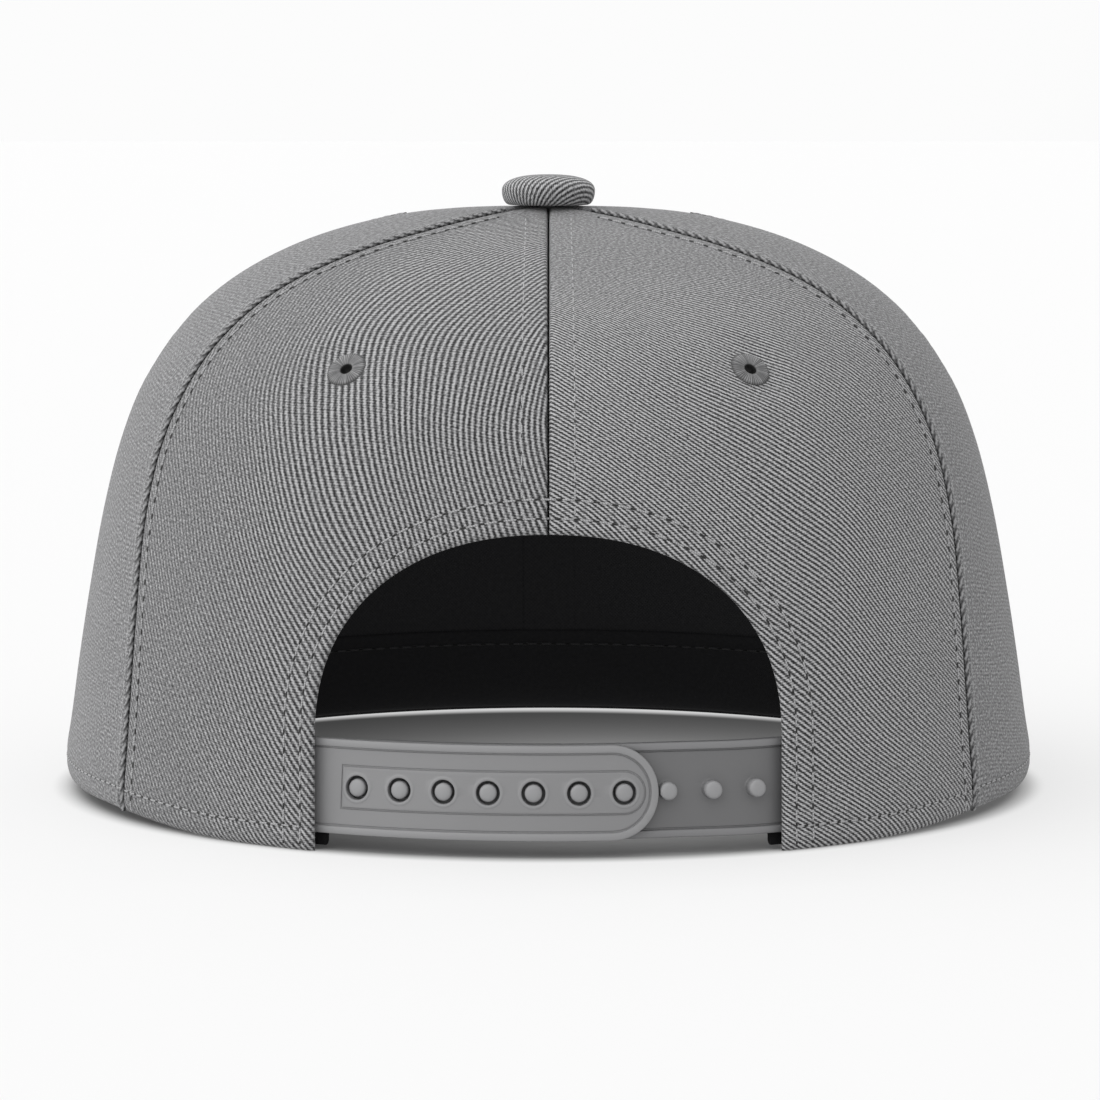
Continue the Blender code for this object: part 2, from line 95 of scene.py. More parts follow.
# Shares of the reach: of the back where the strap bulges most, and of the widest side
BACK_AT_STRAP = 0.9965
WIDEST_SIDE = 1.007
strap_low, strap_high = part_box("snap_strap_with_holes")
CROWN_HALF_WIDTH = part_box("side_panel_left")[1].x / WIDEST_SIDE
CROWN_BACK_REACH = (strap_high.y - AXIS_Y + STRAP_DEPTH) / BACK_AT_STRAP
CROWN_FRONT_REACH = AXIS_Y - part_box("front_panel_left")[0].y
CROWN_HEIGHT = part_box("back_panel_left")[1].z
RIM_LIFT = 2.0 * MM
RIM_LIFT_HEIGHT = 20.0 * MM
# Degrees from the back between which the rim rises, and sinks again
RIM_RISES = (36.0, 64.0)
RIM_SINKS = (90.0, 117.0)


# %% A smooth curve through the sections
def spline_table(columns=SECTION_COLUMNS, rows=CROWN_SECTIONS, steps=200):
    """Every column of the sections at finely spaced places, on a Catmull-Rom curve."""
    places = np.linspace(0.0, len(rows) - 1, (len(rows) - 1) * steps + 1)
    values = np.array(rows)
    ends = (2 * values[:1] - values[1:2], values, 2 * values[-1:] - values[-2:-1])
    padded = np.concatenate(ends)
    row = np.minimum(places.astype(int), len(rows) - 2)
    part = (places - row)[:, None]
    before, here, after, beyond = (padded[row + step] for step in range(4))
    bend = 2 * before - 5 * here + 4 * after - beyond
    twist = 3 * (here - after) + beyond - before
    curve = here + 0.5 * part * (after - before + part * (bend + part * twist))
    return places, {name: curve[:, index] for index, name in enumerate(columns)}


PLACES, SECTION = spline_table()


def section(column, place):
    """A column of the sections at any place, where 0 is the rim and TOP_PLACE the button."""
    return np.interp(place, PLACES, SECTION[column])


def place_at(height):
    """The place at which the crown reaches a height."""
    return np.interp(height, SECTION["height"] * CROWN_HEIGHT, PLACES)


def smooth_step(value, start, end):
    """0 before start, 1 after end, and an easy curve between them."""
    share = np.clip((value - start) / (end - start), 0.0, 1.0)
    return share * share * (3.0 - 2.0 * share)


# %% The outer face of the crown
def crown_reach(azimuth, place):
    """Distance from the axis to the outer face. Azimuth 0 is the back, and it grows to the left."""
    side = section("side", place) * CROWN_HALF_WIDTH
    back = section("back", place) * CROWN_BACK_REACH
    front = section("front", place) * CROWN_FRONT_REACH
    end = np.where(np.cos(azimuth) > 0.0, back, front)
    return side * end / np.hypot(end * np.sin(azimuth), side * np.cos(azimuth))


def lifted(height, azimuth):
    """A height, with the small rise of the rim at the sides, which fades out above it."""
    from_back = np.degrees(np.arccos(np.clip(np.cos(azimuth), -1.0, 1.0)))
    rise = smooth_step(from_back, *RIM_RISES) * (1.0 - smooth_step(from_back, *RIM_SINKS))
    return height + RIM_LIFT * rise * (1.0 - smooth_step(height, 0.0, RIM_LIFT_HEIGHT))


def in_room(azimuth, reach, height):
    """Points at a distance from the axis and a height, as rows of x, y, z."""
    return np.stack([reach * np.sin(azimuth), AXIS_Y + reach * np.cos(azimuth), height], axis=-1)


def outer_face(azimuth, place):
    """Points of the outer face."""
    azimuth, place = np.broadcast_arrays(np.asarray(azimuth, float), np.asarray(place, float))
    height = lifted(section("height", place) * CROWN_HEIGHT, azimuth)
    return in_room(azimuth, crown_reach(azimuth, place), height)


def unit(vectors):
    """Vectors scaled to a length of 1."""
    return vectors / np.maximum(np.linalg.norm(vectors, axis=-1, keepdims=True), 1e-12)


def outward(azimuth, place, turn=0.002, climb=0.02):
    """The direction square to the outer face, from two short steps along it."""
    place = np.asarray(place, float)
    low, high = np.maximum(place - climb, 0.0), np.minimum(place + climb, TOP_PLACE)
    across = outer_face(azimuth + turn, place) - outer_face(azimuth - turn, place)
    up = outer_face(azimuth, high) - outer_face(azimuth, low)
    return unit(np.cross(up, across))


def run_of(points):
    """How far along a line each of its points lies."""
    return np.concatenate(([0.0], np.cumsum(np.linalg.norm(np.diff(points, axis=0), axis=1))))


def at_run(at, run, points):
    """The points of a line at some distances along it."""
    return np.stack([np.interp(at, run, column) for column in points.T], axis=-1)


def seam_azimuth(seam, place):
    """Azimuth of a seam: 0 centre back, 1 back to side, 2 side to front, 3 centre front."""
    if seam == 1:
        return BACK_SEAM_AZIMUTH * section("seam", place)
    return np.full(np.shape(place), (0.0, None, FRONT_SEAM_AZIMUTH, math.pi)[seam])


# %% [markdown]
# ## A flat pattern for each gore
#
# Seams, hems, stitches and the ribs of the weave all follow the cloth, not the room. A
# tailor measures them on the flat pattern, and so do we: a gore's pattern has U across it,
# from its middle line, and V up along that line, both in metres of cloth. Two short
# methods lead from the pattern to the crown and back.

# %% Pattern of a gore
class Pattern:
    """The flat pattern of a gore: (u, v) on the cloth to (azimuth, place) on the crown."""

    def __init__(self, middle):
        self.middle = middle
        self.length = run_of(outer_face(middle, PLACES))

    def crown(self, u, v):
        """Azimuth and place of a point of the pattern."""
        place = np.interp(v, self.length, PLACES)
        return self.middle + u / crown_reach(self.middle, place), place

    def flat(self, azimuth, place):
        """The point of the pattern at an azimuth and a place, as u and v."""
        azimuth, place = np.broadcast_arrays(azimuth, place)
        u = (azimuth - self.middle) * crown_reach(self.middle, place)
        return np.stack([u, np.interp(place, PLACES, self.length)], axis=-1)


GORE_MIDDLES = (math.radians(29.0), math.radians(89.5), math.radians(150.5))
PATTERNS = [Pattern(middle) for middle in GORE_MIDDLES]
print("gore height along the cloth: %.1f mm" % (PATTERNS[0].length[-1] / MM))


# %% Lines on a pattern
def along_line(points, count=None, spacing=None):
    """The same line with evenly spaced points."""
    run = run_of(points)
    if count is None:
        count = max(2, int(round(run[-1] / spacing)) + 1)
    return at_run(np.linspace(0.0, run[-1], count), run, points)


def beside(points, distance):
    """A line beside another one, to its left where the distance is positive."""
    ways = unit(np.gradient(points, axis=0))
    return points + distance * np.stack([-ways[:, 1], ways[:, 0]], axis=-1)


def distance_to(points, line):
    """The distance of each point from a line."""
    best = np.full(len(points), np.inf)
    for start, step in zip(line[:-1], np.diff(line, axis=0)):
        share = np.clip(((points - start) @ step) / np.linalg.norm(step)**2, 0.0, 1.0)
        best = np.minimum(best, np.linalg.norm(points - start - share[:, None] * step, axis=1))
    return best

# %% [markdown]
# ## Colours and nodes
#
# A paint chart gives colours as sRGB hex, and Blender's shaders want linear light, so one
# function turns the first into the second. Another small function adds a node, sets it and
# links it, which keeps a material down to a handful of lines.

# %% Helpers for materials
def colour(text):
    """An sRGB hex colour as linear red, green, blue and alpha."""
    parts = [int(text[index : index + 2], 16) / 255.0 for index in (0, 2, 4)]
    return tuple(
        part / 12.92 if part <= 0.04045 else ((part + 0.055) / 1.055) ** 2.4 for part in parts
    ) + (1.0,)


def add(tree, kind, links=None, values=None, **settings):
    """Add a node, with its settings, its socket values and the sockets that feed it."""
    node = tree.nodes.new(kind)
    for name, value in settings.items():
        setattr(node, name, value)
    for socket, value in (values or {}).items():
        node.inputs[socket].default_value = value
    for socket, source in (links or {}).items():
        tree.links.new(source, node.inputs[socket])
    return node


WHITE = colour("ffffff")


def start_material(name, sockets):
    """A new material with some sockets set. Returns it, its tree and its Principled surface."""
    material = bpy.data.materials.new(name)
    material.use_nodes = True
    tree = material.node_tree
    shader = tree.nodes["Principled BSDF"]
    for socket, value in sockets.items():
        shader.inputs[socket].default_value = value
    return material, tree, shader


def uv_map(tree, name):
    """The place on a UV map."""
    return add(tree, "ShaderNodeUVMap", uv_map=name).outputs["UV"]


def two_axes(tree, vector):
    """The X and the Y of a vector."""
    split = add(tree, "ShaderNodeSeparateXYZ", {"Vector": vector})
    return split.outputs["X"], split.outputs["Y"]


def ramp(tree, source, stops):
    """A colour ramp over (position, colour) stops."""
    node = add(tree, "ShaderNodeValToRGB", {"Fac": source})
    elements = node.color_ramp.elements
    while len(elements) < len(stops):
        elements.new(0.5)
    for element, (position, shade) in zip(elements, stops):
        element.position = position
        element.color = shade
    return node.outputs["Color"]


def noise(tree, flat, scale, detail, roughness=0.5):
    """Noise on the flat pattern, so many spots to a millimetre."""
    return add(
        tree, "ShaderNodeTexNoise", {"Vector": flat},
        {"Scale": scale, "Detail": detail, "Roughness": roughness}, noise_dimensions="2D",
    ).outputs["Fac"]


def emboss(tree, shader, height, strength, depth):
    """Let a height shape the light on the surface."""
    bump = add(tree, "ShaderNodeBump", {"Height": height}, {"Strength": strength, "Distance": depth})
    tree.links.new(bump.outputs["Normal"], shader.inputs["Normal"])


def wave(tree, value, pitch):
    """A wave between 0 and 1 along a value."""
    turn = calculate(tree, "MULTIPLY", value, 2.0 * math.pi / pitch)
    return calculate(tree, "MULTIPLY_ADD", calculate(tree, "COSINE", turn), 0.5, 0.5)


def calculate(tree, operation, first, second=None, third=None):
    """One Math node. Each input is a number or another node's output."""
    node = add(tree, "ShaderNodeMath", operation=operation)
    for index, value in enumerate((first, second, third)):
        if isinstance(value, (int, float)):
            node.inputs[index].default_value = value
        elif value is not None:
            tree.links.new(value, node.inputs[index])
    return node.outputs[0]


# %% [markdown]
# ## Cotton twill
#
# The cap is cut from a mid grey cotton twill, woven from yarn of two greys. Each weft thread
# steps one warp thread further than the last, which raises slanting ribs under 1 mm apart,
# and every rib looks like a twisted rope. Where the cloth was pressed over the block the ribs
# fade into a fine grain. We could model threads, but at this scale a pattern in the shader
# holds up better. It reads the flat pattern, in millimetres, so it bends with the cloth. The
# ribs bump the surface and are also painted into the colour: painted shade in their grooves
# and a painted highlight on their crests, over the speckle of the yarns' own two greys.

# %% Twill
RIB_PITCH_MM = 0.72
YARN_PITCH_MM = 0.55
CURL_START_MM = 50.0
# How far the ribs wander over the panel and shiver from yarn to yarn
DRIFT_MM = 14.0
WOBBLE_MM = 0.12
# Part of the relief that the yarns have, next to the ribs, and how much the yarns' greys differ
YARN_SHARE = 0.26
SPECKLE = 1.3
# Ramp stops of the twill: the yarns' greys, spread wide enough to also paint shade into the rib grooves
# and a highlight on the crests
CLOTH_DARK = colour("1f1f20")
CLOTH_LIGHT = colour("b0b0b1")
CLOTH_MIDDLE = colour("6c6c6d")


def twill_material(
        name, lean_deg, strength=1.0, bend=0.6, curl=0.0, pitch_mm=RIB_PITCH_MM, tone=1.0):
    """Woven cotton twill: matt, ribbed, with a speckle of lighter and darker yarn, and painted shade in
    the grooves of the ribs with a painted highlight on their crests.

    lean_deg turns the ribs anticlockwise from straight up the gore, seen from outside,
    and curl straightens them again towards the top, where the cloth was pulled round.
    tone makes the whole cloth a little lighter or darker, and paints shade on the back panels.
    """
    material, tree, shader = start_material(name, {
        "Roughness": 0.92, "Specular IOR Level": 0.25, "Sheen Weight": 0.12, "Sheen Roughness": 0.5,
    })
    flat = uv_map(tree, "cloth_mm")
    drift = noise(tree, flat, 0.022, 1.0, 0.4)
    wobble = noise(tree, flat, 0.6, 1.0)
    turned = add(
        tree, "ShaderNodeMapping", {"Vector": flat},
        {"Rotation": (0.0, 0.0, math.radians(-lean_deg))},
    )
    across, along = two_axes(tree, turned.outputs[0])
    # The ribs wander a little, as the cloth was pulled over the block
    pulled = calculate(tree, "MULTIPLY_ADD", drift, DRIFT_MM * bend, across)
    pulled = calculate(tree, "MULTIPLY_ADD", wobble, WOBBLE_MM, pulled)
    _, height_mm = two_axes(tree, flat)
    climbed = calculate(tree, "MAXIMUM", calculate(tree, "SUBTRACT", height_mm, CURL_START_MM), 0.0)
    climbed = calculate(tree, "MULTIPLY", climbed, climbed)
    pulled = calculate(tree, "MULTIPLY_ADD", climbed, -curl, pulled)
    rib = wave(tree, pulled, pitch_mm)
    # Each rib is a row of short yarn floats that slant across it
    yarn = wave(tree, calculate(tree, "MULTIPLY_ADD", pulled, 0.9, along), YARN_PITCH_MM)
    grain = noise(tree, flat, 1.9, 3.0, 0.65)
    ribbed = add(tree, "ShaderNodeAttribute", attribute_name="ribbed").outputs["Fac"]
    patchy = calculate(tree, "MULTIPLY_ADD", wobble, 0.5, 0.75)
    amount = calculate(tree, "MULTIPLY", calculate(tree, "MULTIPLY", ribbed, patchy), strength)
    rope = calculate(
        tree, "MULTIPLY_ADD", yarn, YARN_SHARE, calculate(tree, "MULTIPLY", rib, 1.0 - YARN_SHARE),
    )
    rope = calculate(tree, "SUBTRACT", rope, 0.5)
    speckle = calculate(tree, "SUBTRACT", grain, 0.5)
    height = calculate(tree, "MULTIPLY", rope, amount)
    height = calculate(tree, "MULTIPLY_ADD", speckle, SPECKLE, height)
    shade = calculate(tree, "ADD", height, 0.5)
    # Painted shade and highlight: the ramp darkens the grooves and lightens the crests of the ribs and
    # yarn floats; the speckle is the yarns' own tone
    yarn_greys_and_rib_shade = ramp(tree, shade, ((0.06, CLOTH_DARK), (0.5, CLOTH_MIDDLE), (0.94, CLOTH_LIGHT)))
    # A random mottle of the cloth, times tone, which paints shade on the back panels
    mottle_and_panel_shade = calculate(tree, "MULTIPLY_ADD", noise(tree, flat, 0.09, 3.0, 0.6), 0.14 * tone, 0.93 * tone)
    mottled_and_panel_shaded = add(tree, "ShaderNodeVectorMath", {0: yarn_greys_and_rib_shade, "Scale": mottle_and_panel_shade}, operation="SCALE")
    tree.links.new(mottled_and_panel_shaded.outputs[0], shader.inputs["Base Color"])
    emboss(tree, shader, height, 0.6, 0.16 * MM)
    return material


# Painted shade: tone 0.87 darkens the left back panel, and 0.97 the right one a little; lean and pitch
# are the ribs' real direction and size
BACK_TWILL = {
    "left": twill_material("cotton_twill_back_left", 35.0, curl=0.0062, pitch_mm=0.92, tone=0.87),
    "right": twill_material(
        "cotton_twill_back_right", 49.0, strength=1.25, pitch_mm=0.76, tone=0.97,
    ),
}
SIDE_TWILL = twill_material("cotton_twill_side", 84.0, strength=0.16)
FRONT_TWILL = twill_material("cotton_twill_front", 45.0, strength=0.7)
print("twill ribs every %.2f mm" % RIB_PITCH_MM)

# %% [markdown]
# ## Sheets of cloth with a thickness
#
# A panel, a lining and a strap of tape are all the same thing: a grid of points on an outer
# face, the same grid on an inner face, and walls between them. Blender's grid operator makes
# the faces, extruding the region gives the second layer and the walls, and then each vertex
# only has to be sent to its place.

# %% A thick sheet
def in_scene(name, data):
    """A new object of the scene."""
    thing = bpy.data.objects.new(name, data)
    bpy.context.scene.collection.objects.link(thing)
    return thing


def as_object(name, shape):
    """A new object with the mesh of a shape."""
    mesh = bpy.data.meshes.new(name)
    shape.to_mesh(mesh)
    shape.free()
    return in_scene(name, mesh)


def finish_mesh(shape, name, material, sharp_deg=50.0, merge=0.004 * MM):
    """Merge what coincides, turn every face outwards and make the object."""
    bmesh.ops.remove_doubles(shape, verts=shape.verts[:], dist=merge)
    bmesh.ops.recalc_face_normals(shape, faces=shape.faces[:])
    if shape.calc_volume(signed=True) < 0.0:
        bmesh.ops.reverse_faces(shape, faces=shape.faces[:])
    piece = as_object(name, shape)
    piece.data.shade_smooth()
    piece.data.set_sharp_from_angle(angle=math.radians(sharp_deg))
    piece.data.materials.append(material)
    return piece


def register(piece, node=None):
    """Fix a piece to the cap, and hide the solid of the frame that it stands for."""
    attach(piece, "root")
    if node is not None:
        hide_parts(node)
    print(piece.name, "has", len(piece.data.polygons), "faces")


def flip(mirror):
    """What turns points of the left half into points of the right half, where mirror is -1."""
    return np.array([mirror, 1.0, 1.0])


def write_uvs(faces, layer, spots):
    """Give every corner of every face the UV of its vertex."""
    for face in faces:
        for loop in face.loops:
            loop[layer].uv = spots[loop.vert]


def roll_grid(shape, uv_name, rings, around, place, merge=0.001 * MM):
    """Roll a grid into a tube. place gives the point and the UV of a ring and a step round it."""
    layers = shape.loops.layers.uv
    layer = layers.get(uv_name) or layers.new(uv_name)
    made = bmesh.ops.create_grid(shape, x_segments=rings - 1, y_segments=around, size=0.5)["verts"]
    uvs = {}
    for vertex in made:
        ring = int(round((vertex.co.x + 0.5) * (rings - 1)))
        step = int(round((vertex.co.y + 0.5) * around))
        vertex.co, uvs[vertex] = place(ring, step)
    write_uvs({face for vertex in made for face in vertex.link_faces}, layer, uvs)
    bmesh.ops.remove_doubles(shape, verts=made, dist=merge)


def thick_sheet(name, outer, inner, material, flat, ribbed=None):
    """A closed sheet between two grids of points, with its flat pattern in mm as a UV map."""
    rows, columns = outer.shape[0] - 1, outer.shape[1] - 1
    shape = bmesh.new()
    bmesh.ops.create_grid(shape, x_segments=columns, y_segments=rows, size=0.5)
    bmesh.ops.extrude_face_region(shape, geom=shape.faces[:], use_keep_orig=True)
    shape.verts.index_update()
    half = len(shape.verts) // 2
    spots = np.array([vertex.co[:2] for vertex in shape.verts]) + 0.5
    across = np.rint(spots[:, 0] * columns).astype(int)
    up = np.rint(spots[:, 1] * rows).astype(int)
    pattern = flat[up, across] / MM
    layer = shape.loops.layers.uv.new("cloth_mm")
    write_uvs(shape.faces, layer, {vertex: pattern[vertex.index] for vertex in shape.verts})
    if ribbed is not None:
        layer = shape.verts.layers.float.new("ribbed")
        for vertex in shape.verts:
            vertex[layer] = ribbed[up[vertex.index], across[vertex.index]]
    for vertex in shape.verts:
        grid = outer if vertex.index < half else inner
        vertex.co = grid[up[vertex.index], across[vertex.index]]
    return finish_mesh(shape, name, material)


# %% [markdown]
# ## Laying a grid on a gore
#
# A gore has four sides, so the grid is stretched between four lines of its pattern. That is
# a Coons patch: blend the two pairs of opposite sides and take away the corners, which were
# counted twice. The lines crowd together near the sides, where the cloth rolls over a hem or
# dives into a seam. A back gore's lower side is the arch and its right side is the rim, so
# that each of its corners stays a corner.

# %% Grid between four lines
def spread(lengths, near_mm, far_mm, middle):
    """Shares along lines of some lengths: given steps from both ends, and even ones between."""
    near, far = np.array(near_mm) * MM, np.array(far_mm) * MM
    fit = np.minimum(1.0, 0.7 * lengths / (near[-1] + far[-1]))[:, None]
    start = near * fit / lengths[:, None]
    end = 1.0 - far[::-1] * fit / lengths[:, None]
    share = np.linspace(0.0, 1.0, middle + 2)[1:-1]
    return np.concatenate((start, start[:, -1:] + (end[:, :1] - start[:, -1:]) * share, end), 1)


def on_line(line, shares):
    """Points at shares of a line's length."""
    run = run_of(line)
    return at_run(shares * run[-1], run, line)


def coons(bottom, top, left, right, across, up):
    """A grid stretched between four lines, at shares across and up."""
    a, b = across[..., None], up[..., None]
    pairs = (1 - b) * on_line(bottom, across) + b * on_line(top, across)
    pairs += (1 - a) * on_line(left, up) + a * on_line(right, up)
    corners = (1 - a) * ((1 - b) * bottom[0] + b * top[0])
    return pairs - corners - a * ((1 - b) * bottom[-1] + b * top[-1])


def patch(sides, steps, columns, rows):
    """The grid of a gore. steps gives the fine spacing from the bottom, top, left and right."""
    bottom, top, left, right = sides
    guess_across = np.linspace(0.0, 1.0, columns + len(steps[2]) + len(steps[3]))
    guess_up = np.linspace(0.0, 1.0, rows + len(steps[0]) + len(steps[1]))
    tall = np.linalg.norm(on_line(top, guess_across) - on_line(bottom, guess_across), axis=1)
    wide = np.linalg.norm(on_line(right, guess_up) - on_line(left, guess_up), axis=1)
    up = spread(tall, steps[0], steps[1], rows).T
    across = spread(wide, steps[2], steps[3], columns)
    return coons(bottom, top, left, right, across, up)


# %% Lines that bound the gores
OPENING_HALF_WIDTH = 40.7 * MM
OPENING_HEIGHT = 55.7 * MM
OPENING_LEG_HEIGHT = 20.0 * MM
OPENING_ROUNDNESS = 2.2
LINE_POINTS = 400
LEG_POINTS = 40
HALF_GAP = 0.5 * CLEARANCE


def azimuth_of(x, place):
    """The azimuth at which the outer face is a distance x to the left of the middle."""
    azimuth = np.arcsin(x / CROWN_BACK_REACH)
    for _ in range(10):
        azimuth = np.arcsin(x / crown_reach(azimuth, place))
    return azimuth


def arch_line():
    """Half of the opening's edge on the back gore's pattern, from the centre seam to the rim."""
    turn = np.linspace(0.5 * math.pi, 0.0, LINE_POINTS)
    share = 2.0 / OPENING_ROUNDNESS
    x = OPENING_HALF_WIDTH * np.cos(turn) ** share
    z = OPENING_LEG_HEIGHT + (OPENING_HEIGHT - OPENING_LEG_HEIGHT) * np.sin(turn) ** share
    x = np.concatenate((x, np.full(LEG_POINTS, OPENING_HALF_WIDTH)))
    z = np.concatenate((z, np.linspace(OPENING_LEG_HEIGHT, 0.0, LEG_POINTS + 1)[1:]))
    x = np.maximum(x, HALF_GAP)
    place = place_at(z)
    return along_line(PATTERNS[0].flat(azimuth_of(x, place), place), count=LINE_POINTS)


def seam_line(gore, seam, inset, start=0.0, end=TOP_PLACE):
    """A seam on a gore's pattern, a little inside the gore, from one place to another."""
    place = np.linspace(start, end, LINE_POINTS)
    azimuth = seam_azimuth(seam, place) + inset / crown_reach(GORE_MIDDLES[gore], place)
    return PATTERNS[gore].flat(azimuth, place)


def level_line(gore, place):
    """A level line across a gore, from its first seam to its second."""
    margin = HALF_GAP / crown_reach(GORE_MIDDLES[gore], place)
    ends = seam_azimuth(gore, place) + margin, seam_azimuth(gore + 1, place) - margin
    return PATTERNS[gore].flat(np.linspace(*ends, LINE_POINTS), place)


ARCH = arch_line()
LEG_AZIMUTH = float(azimuth_of(OPENING_HALF_WIDTH, 0.0))
rim_end = seam_azimuth(1, 0.0) - HALF_GAP / CROWN_HALF_WIDTH
rim_azimuths = np.linspace(LEG_AZIMUTH, rim_end, LINE_POINTS)
# A back gore's upper side starts at the button, so that the patch's corners meet
BACK_SIDES = (
    ARCH,
    np.concatenate((level_line(0, TOP_PLACE)[:-1], seam_line(0, 1, -HALF_GAP, TOP_PLACE, 0.0))),
    seam_line(0, 0, HALF_GAP, float(place_at(OPENING_HEIGHT)), TOP_PLACE),
    PATTERNS[0].flat(rim_azimuths, 0.0),
)


def plain_sides(gore):
    """Bottom, top, left and right line of a side or front gore."""
    return (
        level_line(gore, 0.0),
        level_line(gore, TOP_PLACE),
        seam_line(gore, gore, HALF_GAP),
        seam_line(gore, gore + 1, -HALF_GAP),
    )


SIDES = (BACK_SIDES, plain_sides(1), plain_sides(2))
print("arch and leg: %.1f mm of hem" % (run_of(ARCH)[-1] / MM))

# %% [markdown]
# ## Relief of a sewn panel
#
# Cloth that is folded under at a hem is twice as thick, a row of stitches pulls a shallow
# groove, and at a seam both panels roll down into a narrow valley. All of it depends only on
# the distance from the nearest hem or seam, so one profile of (distance, rise) in millimetres
# for each kind of edge tells the whole story, and a smooth curve runs through it.

# %% Profiles of the edges
HEM_ROW_MM = 4.2
ARCH_ROWS_MM = (2.9, 6.3)
TOPSTITCH_MM = 4.6
SIDE_TOPSTITCH_MM = {"back": 3.4, "side": 1.9}
EDGE_PROFILES = {
    "hem": ((0.0, -1.0), (0.12, -0.55), (0.35, -0.2), (0.8, 0.08), (1.6, 0.26), (2.8, 0.28),
            (3.7, 0.14), (4.2, -0.06), (4.7, 0.02), (5.8, 0.06), (9.0, 0.0)),
    "arch": ((0.0, -1.0), (0.10, -0.62), (0.3, -0.32), (0.6, -0.08), (1.0, 0.10), (1.6, 0.24),
             (2.3, 0.20), (2.9, -0.06), (3.5, 0.14), (4.6, 0.20), (5.7, 0.12), (6.3, -0.06),
             (6.9, 0.02), (9.0, 0.0)),
    "centre_seam": ((0.0, -1.0), (0.12, -0.45), (0.3, -0.17), (0.55, -0.05), (0.85, 0.0),
                    (3.7, 0.03), (4.3, 0.0), (4.6, -0.06), (4.9, 0.0), (8.0, 0.0)),
    "back_seam": ((0.0, -1.0), (0.12, -0.6), (0.3, -0.28), (0.55, -0.1), (0.85, -0.02),
                  (2.6, 0.04), (3.1, 0.0), (3.4, -0.07), (3.7, 0.0), (7.0, 0.0)),
    "side_seam": ((0.0, -0.9), (0.12, -0.3), (0.35, 0.1), (0.7, 0.32), (1.2, 0.34),
                  (1.9, 0.12), (2.4, 0.12), (4.0, 0.04), (8.0, 0.0)),
}
# What each gore's bottom, top, left and right line is: cloth ends, is sewn, or meets the button
PANEL_EDGES = (
    ("arch", "back_seam", "centre_seam", "hem"),
    ("hem", None, "side_seam", "centre_seam"),
    ("hem", None, "centre_seam", "centre_seam"),
)
# Fine steps of the grid from each of these lines, in mm, and even steps between them
HEM_STEPS = (0.0, 0.12, 0.3, 0.55, 0.85, 1.3, 1.9, 2.5, 3.1, 3.6, 4.0, 4.4, 4.8, 5.4, 6.3, 7.4)
ARCH_STEPS = (
    0.0, 0.1, 0.25, 0.5, 0.85, 1.3, 1.8, 2.3, 2.7, 3.1, 3.6, 4.3, 5.1, 5.7, 6.1, 6.5, 7.0, 7.8,
)
SEAM_STEPS = (0.0, 0.12, 0.3, 0.55, 0.85, 1.2, 1.6, 2.1, 2.6, 3.1, 3.7, 4.3, 4.6, 4.9, 5.5, 6.5)
PANEL_STEPS = (
    (ARCH_STEPS, SEAM_STEPS, SEAM_STEPS, HEM_STEPS),
    (HEM_STEPS, (0.0,), SEAM_STEPS, SEAM_STEPS),
    (HEM_STEPS, (0.0,), SEAM_STEPS, SEAM_STEPS),
)
PANEL_COUNTS = ((56, 40), (52, 62), (52, 62))


# Where the air holes are. Their binding is sewn tight, which draws the cloth in round them.
EYELET_SPOTS = {"back": math.radians(30.3), "side": math.radians(90.5), "front": math.radians(151.0)}
EYELET_HEIGHT = 83.1 * MM
EYELET_DIMPLE = 0.60 * MM
EYELET_DRAWN_MM = (3.0, 9.5)


def relief(gore, points):
    """How far the outer cloth stands above the block, and the distances from the four lines."""
    rise = np.zeros(len(points))
    deepest = np.zeros(len(points))
    gaps = []
    for line, kind in zip(SIDES[gore], PANEL_EDGES[gore]):
        gap = distance_to(points, line)
        gaps.append(gap)
        if kind is not None:
            profile = np.array(EDGE_PROFILES[kind])
            here = np.interp(gap / MM, profile[:, 0], profile[:, 1]) * MM
            rise += np.maximum(here, 0.0)
            deepest = np.minimum(deepest, here)
    eyelet = np.array([list(EYELET_SPOTS.values())[gore]])
    centre = PATTERNS[gore].flat(eyelet, float(place_at(EYELET_HEIGHT)))[0]
    away = np.linalg.norm(points - centre, axis=1)
    near, far = (distance * MM for distance in EYELET_DRAWN_MM)
    return rise + deepest - EYELET_DIMPLE * (1.0 - smooth_step(away, near, far)), gaps

# %% [markdown]
# ## The six panels
#
# Each panel is now a patch of its gore: the outer face carries the relief, the inner face
# lies one cloth thickness inside, and both roll together at the edges. Near the opening the
# wall runs straight back, as the arch is cut seen from behind. Two numbers stay with every
# vertex: the flat pattern for the weave, and how strongly the ribs still show.

# %% Panels
SIDE_CLOTH = 2.0 * MM
FRONT_CLOTH = 1.0 * MM
INNER_ROLL = 0.45 * MM
# The cloth's edge is cut level near the rim and straight back near the arch
RIM_LEVEL = 2.0 * MM
ARCH_STRAIGHT = (1.0 * MM, 9.0 * MM)
# How much of the ribs is pressed flat, and the degrees or the share of the height between
# which they go: round the side and towards the top of each back panel, and up the others
RIBS_ROUND_SIDE = {"left": (0.6, 30.0, 50.0), "right": (0.3, 35.0, 55.0)}
RIBS_UP_BACK = {"left": (0.8, 0.84, 0.95), "right": (0.85, 0.60, 0.80)}
RIBS_UP = (0.6, 0.60, 0.90)


